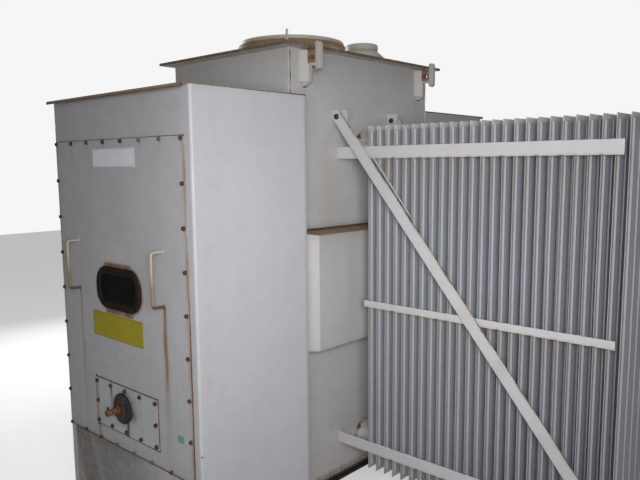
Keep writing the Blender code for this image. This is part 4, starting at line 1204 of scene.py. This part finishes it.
def make_pockets():
    for word, side in SIDES:
        node = f"side_pocket_{word}"
        piece(
            node + "_box",
            copy_of(node, 0.003, (0.0, 0.03, 0.03)),
            TANK_PAINT,
            node=node,
            rust=lambda p: 0.5 * near(p.z - 0.788, 0.001, 0.004) + 0.3 * (p.up > 0.6),
            stain=lambda p: 0.5 * (p.up > 0.6) + 0.2 * near(1.315 - p.z, 0.0, 0.12)
            + 0.12 * near(np.abs(p.y - 0.92), 0.01, 0.03),
            grime=lambda p: 0.75 * (p.up > 0.6) + 0.35 * near(1.312 - p.z, 0.0, 0.03)
            + 0.25 * near(beyond_wall(p, side), 0.002, 0.006),
        )
    shapes = []
    for side in (1, -1):
        for z, radius, seed in ((0.786, 0.003, 5.0), (1.328, 0.0035, 7.0)):
            ends = [(MID + side * 0.404, y, z) for y in (0.611, 1.638)]
            shapes.append(bead(ends, radius, seed + side))
    piece("side_pocket_welds", join(shapes), RUST, 60.0)


def make_strap_lugs(word, side):
    """The lugs on the tank's wall that the straps are bolted to."""
    low, high, bolt_z = 1.79, 1.864, 1.832
    lugs, bolts = [], []
    x0, x1 = sorted((MID + side * 0.4026, MID + side * 0.4625))
    bolt_x = MID + side * (WALL + 0.028)
    for place_word, outward in ENDS:
        faces = [corner[1] for corner in span(f"{place_word}_strap_{word}")][::outward]
        y0, y1 = sorted((faces[0], faces[0] - outward * 0.008))
        lugs.append(box((x0, y0, low), (x1, y1, high), 0.0012, (0.006, 0.004, 0.006)))
        heads = [(faces[1] - outward * 0.001, outward)]
        if outward > 0:
            heads.append((faces[0] - 0.0075, -outward))
        for y, way in heads:
            bolts.append(hex_bolt((bolt_x, y, bolt_z), (0, way, 0), 0.0205, 0.007, 0.2))
    piece(f"strap_lugs_{word}", join(lugs), BAR_PAINT, stain=0.06,
          rust=lambda p: 0.34 * near(np.minimum(high - p.z, p.z - low), 0.001, 0.003))
    piece(f"strap_bolts_{word}", join(bolts), DARK_BOLT, 30.0)


# Rear chamber


def make_chamber():
    piece(
        "rear_chamber_shell",
        box(*span("rear_chamber"), 0.004, (0.025, 0.025, 0.025)),
        TANK_PAINT,
        node="rear_chamber",
        rust=lambda p: 0.55 * near(p.z, 0.01, 0.06) + 0.35 * near(SHEET_TOP - p.z, 0.001, 0.01),
        stain=lambda p: 0.3 * near(p.z, 0.05, 0.25) + 0.2 * near(SHEET_TOP - p.z, 0.005, 0.04),
        grime=lambda p: 0.15 * near(p.z, 0.02, 0.12),
    )
    low, high = span("rear_chamber_cover")
    xs = np.linspace(low[0] + 0.014, high[0] - 0.014, 6)
    places = frame_places(xs, np.linspace(high[2] - 0.012, low[2] + 0.012, 9))

    def rust(p):
        value = 0.72 * near(rim_distance(p.x, p.z, low, high), 0.0015, 0.004)
        for x, z in places:
            value += spot(p, x, z, 0.012, 0.55) + streak(p, x, z, 0.035, 0.0035, 0.7)
        return value

    def stain(p):
        lengths = [0.16 + 0.05 * wobble(k, 8.0) for k in range(len(places))]
        return sum(streak(p, *place, n, 0.006, 0.4) for place, n in zip(places, lengths))

    cover = box(low, high, 0.0007, (0.01, 0.004, 0.01))
    piece("rear_chamber_cover_sheet", cover, FRONT_PAINT, node="rear_chamber_cover", rust=rust,
          stain=stain)
    bolts = [
        hex_bolt((x, high[1], z), (0, 1, 0), 0.0175, 0.0075, wobble(k, 9.0))
        for k, (x, z) in enumerate(places)
    ]
    piece("rear_chamber_bolts", join(bolts), BOLT_RUST, 30.0)
    duct = box(*span("throat_duct"), 0.001, (0.03, 0.01, 0.03))
    piece("throat_duct_sheet", duct, TANK_PAINT, node="throat_duct", grime=0.4)


# Radiator banks

BANK_LOW, BANK_HIGH = span("radiator_bank_right")
BAR_THICK, HALF_BAR = 0.007, 0.027
FIN_FRONT, FIN_REAR = BANK_LOW[1] + BAR_THICK, BANK_HIGH[1] - BAR_THICK
FIN_LOW, FIN_HIGH = BANK_LOW[2], BANK_HIGH[2]
BANK_Y = (FIN_FRONT + FIN_REAR) / 2
FIN_FIRST, FIN_PITCH, FIN_COUNT = 0.5837, 0.0462, 25
RIM, THICK, VALLEY = 0.0013, 0.0066, 0.0026
RIM_DEPTH, BEVEL_DEPTH = 0.016, 0.0055
FLUTES, FLUTE_GAP = 5, 0.02
MIDDLE_LOW, MIDDLE_HIGH = 0.967, 0.999
LEVELS = ("upper", "lower")
HEADER_Z = {level: sum(span(f"{level}_valve_right"))[2] / 2 for level in LEVELS}
BAR_Z = {level: sum(span(f"{level}_front_bar_right"))[2] / 2 for level in LEVELS}


def fin_depths():
    """Stations across a plate and the half thickness that its pressing has there."""
    start, end = FIN_FRONT + RIM_DEPTH + BEVEL_DEPTH, FIN_REAR - RIM_DEPTH - BEVEL_DEPTH
    pitch = (end - start + FLUTE_GAP) / FLUTES
    crest = pitch - FLUTE_GAP
    stations = [(FIN_FRONT, RIM), (FIN_FRONT + 0.003, RIM), (FIN_FRONT + RIM_DEPTH, RIM)]
    for k in range(FLUTES):
        s = start + k * pitch
        stations += [(s, THICK), (s + 0.002, THICK), (s + 0.0085, THICK - 0.0026)]
        stations += [(s + crest * 0.6, THICK - 0.0022), (s + crest, THICK - 0.002)]
        if k < FLUTES - 1:
            stations += [(s + crest + 0.0055, VALLEY), (s + pitch - 0.005, VALLEY)]
    return stations + [(FIN_REAR - RIM_DEPTH, RIM), (FIN_REAR - 0.003, RIM), (FIN_REAR, RIM)]


def fin_levels():
    """Heights on a plate and the most that its half thickness may be there."""
    inner_low, inner_high = FIN_LOW + RIM_DEPTH, FIN_HIGH - RIM_DEPTH
    low, high = BAR_Z["lower"], BAR_Z["upper"]
    heights = [inner_low + BEVEL_DEPTH, low - 0.03, low + 0.03]
    heights += [0.5, 0.7, 0.9, 0.96, 1.0, 1.2, 1.4, 1.52]
    heights += [high - 0.09, high - 0.05, high - 0.03, high + 0.03, inner_high - BEVEL_DEPTH]
    levels = [(FIN_LOW, RIM), (inner_low, RIM)] + [(z, 1.0) for z in heights]
    return levels + [(inner_high, RIM), (FIN_HIGH, RIM)]


def fin(side, index):
    x, depths, rings = FIN_FIRST + index * FIN_PITCH, fin_depths(), []
    for z, cap in fin_levels():
        sway = 0.0004 * math.sin(z * 4.0 + index * 1.7) * (cap >= 1.0)
        middle = MID + side * x + sway
        ring = [(middle + min(half, cap), y, z) for y, half in depths]
        rings.append(ring + [(middle - min(half, cap), y, z) for y, half in depths[::-1]])
    return skin(rings)


def fin_share(p):
    """A repeatable share from 0 to 1 for the plate that a point is on."""
    index = np.round((np.abs(p.x - MID) - FIN_FIRST) / FIN_PITCH)
    return 0.5 + 0.5 * np.sin(index * 3.1 + 0.6)


def fin_rim(p, width=RIM_DEPTH, soft=0.002):
    return near(np.minimum(p.y - FIN_FRONT, FIN_REAR - p.y), width, soft)


def fin_rust(p):
    """Rust runs on the plates' rims under the tie bars, and along their seams."""
    under, strong = BAR_Z["upper"] - HALF_BAR, fin_share(p) ** 3
    value = 0.52 * strong * near(under - p.z, 0.01, 0.05) * (p.z < under)
    value += 0.34 * strong * near(MIDDLE_LOW - p.z, 0.004, 0.03) * (p.z < MIDDLE_LOW)
    seam = near(np.abs(FIN_HIGH - p.z - RIM_DEPTH - 0.001), 0.001, 0.003)
    return value * fin_rim(p) + 0.16 * seam + 0.2 * near(p.z - FIN_LOW, 0.004, 0.02)


def fin_stain(p):
    under, strong = BAR_Z["upper"] - HALF_BAR, fin_share(p)
    value = (0.1 + 0.9 * strong ** 2) * near(under - p.z, 0.02, 0.2) * (p.z < under)
    value += (0.08 + 0.4 * strong) * near(MIDDLE_LOW - p.z, 0.02, 0.2) * (p.z < MIDDLE_LOW)
    value = (value + 0.1 + 0.08 * np.sin(p.z * 11.0 + strong * 9.0)) * fin_rim(p)
    value += 0.26 * near(np.abs(FIN_HIGH - p.z - RIM_DEPTH - 0.002), 0.001, 0.003)
    return value + 0.16 * near(p.z - FIN_LOW, 0.02, 0.1)


def fin_grime(p):
    """Dirt on the plates' front edges, and painted shade in the seam at the foot of the pressed
    middle, just under the top rim.
    """
    seam = near(np.abs(FIN_HIGH - p.z - RIM_DEPTH - 0.003), 0.001, 0.003)
    return 0.12 * fin_rim(p, 0.0005, 0.001) + 0.3 * seam


def fin_chalk(p):
    """Painted highlight along the plates' top rims, and down their front rims near the top."""
    top = FIN_HIGH - p.z
    return 0.6 * near(top, RIM_DEPTH, 0.002) + 0.3 * fin_rim(p) * near(top, 0.05, 0.05)


def bar_marks(low, high):
    """Rust on a bar's lower edge, strongest where it crosses a plate."""

    def crossing(p):
        x = np.abs(p.x - MID)
        plate = (x - FIN_FIRST) / FIN_PITCH
        index = np.round(plate)
        close = near(np.abs(plate - index), 0.1, 0.16) * (x > FIN_FIRST - 0.01)
        return close * (0.55 + 0.45 * np.sin(index * 2.3 + 1.0))

    def rust(p):
        lower, upper = near(p.z - low, 0.0012, 0.003), near(high - p.z, 0.0008, 0.002)
        return lower * (0.26 + 0.34 * crossing(p)) + upper * (0.18 + 0.22 * crossing(p))

    def stain(p):
        return near(p.z - low, 0.003, 0.008) * (0.25 + 0.3 * crossing(p)) + 0.05

    return {"rust": rust, "stain": stain}


def make_bank(word, side):
    """The plates, the two pipes that they hang on, with a welded sleeve between each pair of
    plates, and the middle tie bars."""
    node = f"radiator_bank_{word}"
    fins = join([fin(side, k) for k in range(FIN_COUNT)])
    piece(f"radiator_{word}_plates", fins, FIN_PAINT, 20.0, node=node, rust=fin_rust,
          stain=fin_stain, grime=fin_grime, chalk=fin_chalk)
    start = FIN_FIRST - 0.006 - 0.05
    length = FIN_FIRST + (FIN_COUNT - 1) * FIN_PITCH - start
    pipe = [(0.0, length), (0.04, length), (0.04, 0.012), (0.0, 0.012)]
    shapes = []
    for z in HEADER_Z.values():
        place = (MID + side * start, BANK_Y, z)
        shapes.append(lathe(pipe, 40, place, (side, 0, 0)))
        for k in range(FIN_COUNT - 1):
            x = FIN_FIRST + (k + 0.5) * FIN_PITCH - start
            sleeve = [(0.0385, x + 0.0165), (0.0435, x + 0.015)]
            sleeve += [(0.0435, x - 0.015), (0.0385, x - 0.0165)]
            shapes.append(lathe(sleeve, 24, place, (side, 0, 0)))
    piece(f"radiator_{word}_headers", join(shapes), FIN_PAINT, node=node, rust=0.2, stain=0.3,
          grime=0.3)
    reach = (FIN_FIRST - 0.0215, FIN_FIRST + (FIN_COUNT - 1) * FIN_PITCH - 0.0155)
    x0, x1 = sorted(MID + side * x for x in reach)
    shapes = [
        box((x0, y0, MIDDLE_LOW), (x1, y1, MIDDLE_HIGH), 0.0012, (FIN_PITCH / 6, 0.006, 0.004))
        for y0, y1 in ((FIN_FRONT - BAR_THICK, FIN_FRONT + 0.0005),
                       (FIN_REAR - 0.0005, FIN_REAR + BAR_THICK))
    ]
    piece(f"radiator_{word}_middle_bars", join(shapes), BAR_PAINT, node=node,
          **bar_marks(MIDDLE_LOW, MIDDLE_HIGH))


def make_tie_bars():
    for level, z in BAR_Z.items():
        for place_word, outward in ENDS:
            for word, side in SIDES:
                node = f"{level}_{place_word}_bar_{word}"
                shape = copy_of(node, 0.0012, (FIN_PITCH / 6, 0.0, 0.006))
                piece(node + "_flat", shape, BAR_PAINT, node=node,
                      **bar_marks(z - HALF_BAR, z + HALF_BAR))


# The straps' middle line: distance from the tank's middle plane, and height
STRAP_TOP, STRAP_FOOT, STRAP_HALF = np.array((0.4305, 1.832)), np.array((1.6752, 0.299)), 0.026
STRAP_RUN = (STRAP_FOOT - STRAP_TOP) / np.linalg.norm(STRAP_FOOT - STRAP_TOP)
STRAP_UP = np.array((-STRAP_RUN[1], STRAP_RUN[0]))
# Places across the strap from its middle line, and shares of the leg's depth
LEG_SECTION = ((0.0258, 0.0), (0.0258, 0.8), (0.0258, 1.0), (0.0218, 1.0), (0.0218, 0.0))


def strap_place(p):
    """Places along a strap from its top, and across it from its middle line."""
    flat = np.stack([np.abs(p.x - MID), p.z], 1) - STRAP_TOP
    return flat @ STRAP_RUN, flat @ STRAP_UP


def strap_rust(p):
    """Rust along a strap's edges, most on its upper one."""
    u, v = strap_place(p)
    value = 0.46 * near(STRAP_HALF - v, 0.001, 0.003) * (0.75 + 0.25 * np.sin(u * 23.0))
    value += 0.26 * near(v + STRAP_HALF, 0.001, 0.003)
    return value + 0.5 * near(np.hypot(u, v), 0.01, 0.006)


def strap_stain(p):
    u, v = strap_place(p)
    value = 0.3 * near(STRAP_HALF - v, 0.002, 0.006) + 0.06
    return value + 0.1 * near(np.abs(u - 1.05), 0.01, 0.05)


def strap_grime(p):
    u = strap_place(p)[0]
    return 0.16 * np.exp(-(((u - 1.3) / 0.03) ** 2)) + 0.14 * np.exp(-(((u - 1.62) / 0.03) ** 2))


def strap_leg(node, side, outward):
    """The strap's turned inner edge: a thin leg behind it, deepest at the upper bar."""
    face = [corner[1] for corner in span(node)][::outward][0]
    first = (STRAP_TOP[1] - BAR_Z["upper"] - HALF_BAR) / -STRAP_RUN[1] + 0.012
    rings = []
    for t in np.linspace(0.0, 1.0, 34):
        depth = 0.0185 * (1.0 - t) ** 0.8 + 0.0004
        ring = []
        for across, reach in LEG_SECTION:
            x, z = STRAP_TOP + STRAP_RUN * (first + 0.4 * t) + STRAP_UP * across
            ring.append((MID + side * x, face - outward * reach * depth, z))
        rings.append(ring)
    return skin(rings)


def make_straps():
    for place_word, outward in ENDS:
        for word, side in SIDES:
            node = f"{place_word}_strap_{word}"
            shape = copy_of(node, 0.0012, (0.012, 0.0, 0.012))
            piece(node + "_flat", shape, BAR_PAINT, node=node, rust=strap_rust,
                  stain=strap_stain, grime=strap_grime)

    def leg_rust(p):
        order = np.arange(len(p.z)) % len(LEG_SECTION)
        return 0.52 * np.isin(order, (2, 3)) + 0.04

    for word, side in SIDES:
        legs = join([strap_leg(f"{end}_strap_{word}", side, outward) for end, outward in ENDS])
        piece(f"strap_legs_{word}", legs, BAR_PAINT, rust=leg_rust, stain=0.06)


VALVE_FLANGE, STUB = 0.067, 0.048
# Radius and distance from the valve's end, from its flange to the stub
VALVE_END = (
    (VALVE_FLANGE - 0.002, 0.0), (VALVE_FLANGE, 0.0015), (VALVE_FLANGE, 0.0125),
    (VALVE_FLANGE - 0.002, 0.014), (0.0535, 0.014), (0.05, 0.0165), (STUB, 0.021),
)


def make_valve(level, z, word, side):
    node = f"{level}_valve_{word}"
    low, high = span(node)
    length, y = high[0] - low[0], BANK_Y
    profile = [(0.0, length)] + [(r, length - h) for r, h in VALVE_END] + [(STUB, length * 0.5)]
    profile += list(VALVE_END[::-1]) + [(0.0, 0.0)]

    def rust(p):
        r = np.hypot(p.y - y, p.z - z)
        value = 0.42 * near(np.abs(r - VALVE_FLANGE), 0.0012, 0.003)
        value += 0.25 * near(np.abs(r - 0.051), 0.002, 0.003)
        return value + spot(p, y - 0.045, z + 0.04, 0.01, 0.34, axis=1)

    shape = lathe(profile, 56, ((low if side > 0 else high)[0], y, z), (side, 0, 0))
    piece(node + "_body", shape, BAR_PAINT, 30.0, node=node, rust=rust, stain=0.22)


# Stage


def add_light(name, place, target, size, power, spread=180.0):
    data = bpy.data.lights.new(name, "AREA")
    data.shape, data.size, data.energy = "SQUARE", size, power
    data.spread = math.radians(spread)
    light = bpy.data.objects.new(name, data)
    bpy.context.scene.collection.objects.link(light)
    turn = (Vector(target) - Vector(place)).to_track_quat("-Z", "Y").to_matrix().to_4x4()
    light.matrix_world = Matrix.Translation(place) @ turn


def make_stage():
    size, white = 14.0, (1.0, 1.0, 1.0)
    n = Nodes("studio_floor")
    shades = ((0.3, srgb(200, 200, 200)), (0.7, srgb(206, 206, 206)))
    n.link(n.ramp(n.noise(0.8, 2.0, 0.5), shades), n.shader.inputs["Base Color"])
    n.link(0.9, n.shader.inputs["Roughness"])
    seen = n.add("ShaderNodeLightPath").outputs["Is Camera Ray"]
    n.link(white, n.shader.inputs["Emission Color"])
    n.link(n.math("MULTIPLY", seen, 0.42), n.shader.inputs["Emission Strength"])
    mesh = bpy.data.meshes.new("studio_floor")
    corners = [(-size, -size, 0.0), (size, -size, 0.0), (size, size, 0.0), (-size, size, 0.0)]
    mesh.from_pydata(corners, [], [(0, 1, 2, 3)])
    mesh.materials.append(n.material)
    floor = bpy.data.objects.new("studio_floor", mesh)
    bpy.context.scene.collection.objects.link(floor)
    world = bpy.data.worlds.new("studio")
    bpy.context.scene.world = world
    world.use_nodes = True
    tree = world.node_tree
    path = tree.nodes.new("ShaderNodeLightPath")
    either = tree.nodes.new("ShaderNodeMath")
    either.operation = "MAXIMUM"
    tree.links.new(path.outputs["Is Camera Ray"], either.inputs[0])
    tree.links.new(path.outputs["Is Transmission Ray"], either.inputs[1])
    level = tree.nodes.new("ShaderNodeMapRange")
    tree.links.new(either.outputs[0], level.inputs["Value"])
    level.inputs["To Min"].default_value, level.inputs["To Max"].default_value = 0.135, 0.92
    background = tree.nodes["Background"]
    tree.links.new(level.outputs[0], background.inputs["Strength"])
    background.inputs["Color"].default_value = (*white, 1.0)
    # Place and target in the CAD's frame, size, power and spread
    add_light("key", (2.72, -2.35, 1.75), (0.4, -0.7, 1.28), 1.0, 15.3, 90.0)
    add_light("bank_fill", (2.2, -2.6, 1.7), (1.35, -0.2, 1.22), 0.8, 6.6, 80.0)
    add_light("left_fill", (-4.6, 0.6, 2.2), (-0.6, 0.0, 1.1), 2.4, 75.0, 120.0)
    add_light("rear_fill", (-1.5, 5.0, 2.5), (0.0, 0.8, 1.1), 2.6, 70.0)
    add_light("top", (0.4, 0.4, 5.6), (0.2, 0.1, 0.0), 3.4, 44.0)


make_camera()
make_cabinet_sides()
make_cabinet_sheets()
make_roof("cabinet_roof", ROOF_FRONT, DEPTH, 0.0, 1.0)
rear_low, rear_high = span("rear_chamber_roof")
make_roof("rear_chamber_roof", rear_high[1], rear_low[1], rear_low[0], rear_high[0])
make_cover()
make_window()
make_front_plates()
make_handles()
make_operator_plate()
make_knob()
make_tank()
make_lid()
make_manhole()
make_turret()
for lug_word, lug_start in (("front", 0.668), ("rear", 1.533)):
    for side_word, side_sign in SIDES:
        make_lug(lug_word, side_word, side_sign, lug_start)
make_pockets()
for side_word, side_sign in SIDES:
    make_strap_lugs(side_word, side_sign)
make_chamber()
for side_word in ("left", "right"):
    rail = f"skid_rail_{side_word}"
    piece(rail + "_channel", copy_of(rail, 0.0015, (0.0, 0.05, 0.0)), STEEL, node=rail)
for side_word, side_sign in SIDES:
    make_bank(side_word, side_sign)
make_tie_bars()
make_straps()
for valve_level, valve_z in HEADER_Z.items():
    for side_word, side_sign in SIDES:
        make_valve(valve_level, valve_z, side_word, side_sign)
make_stage()

bpy.context.scene.view_settings.view_transform = "Standard"
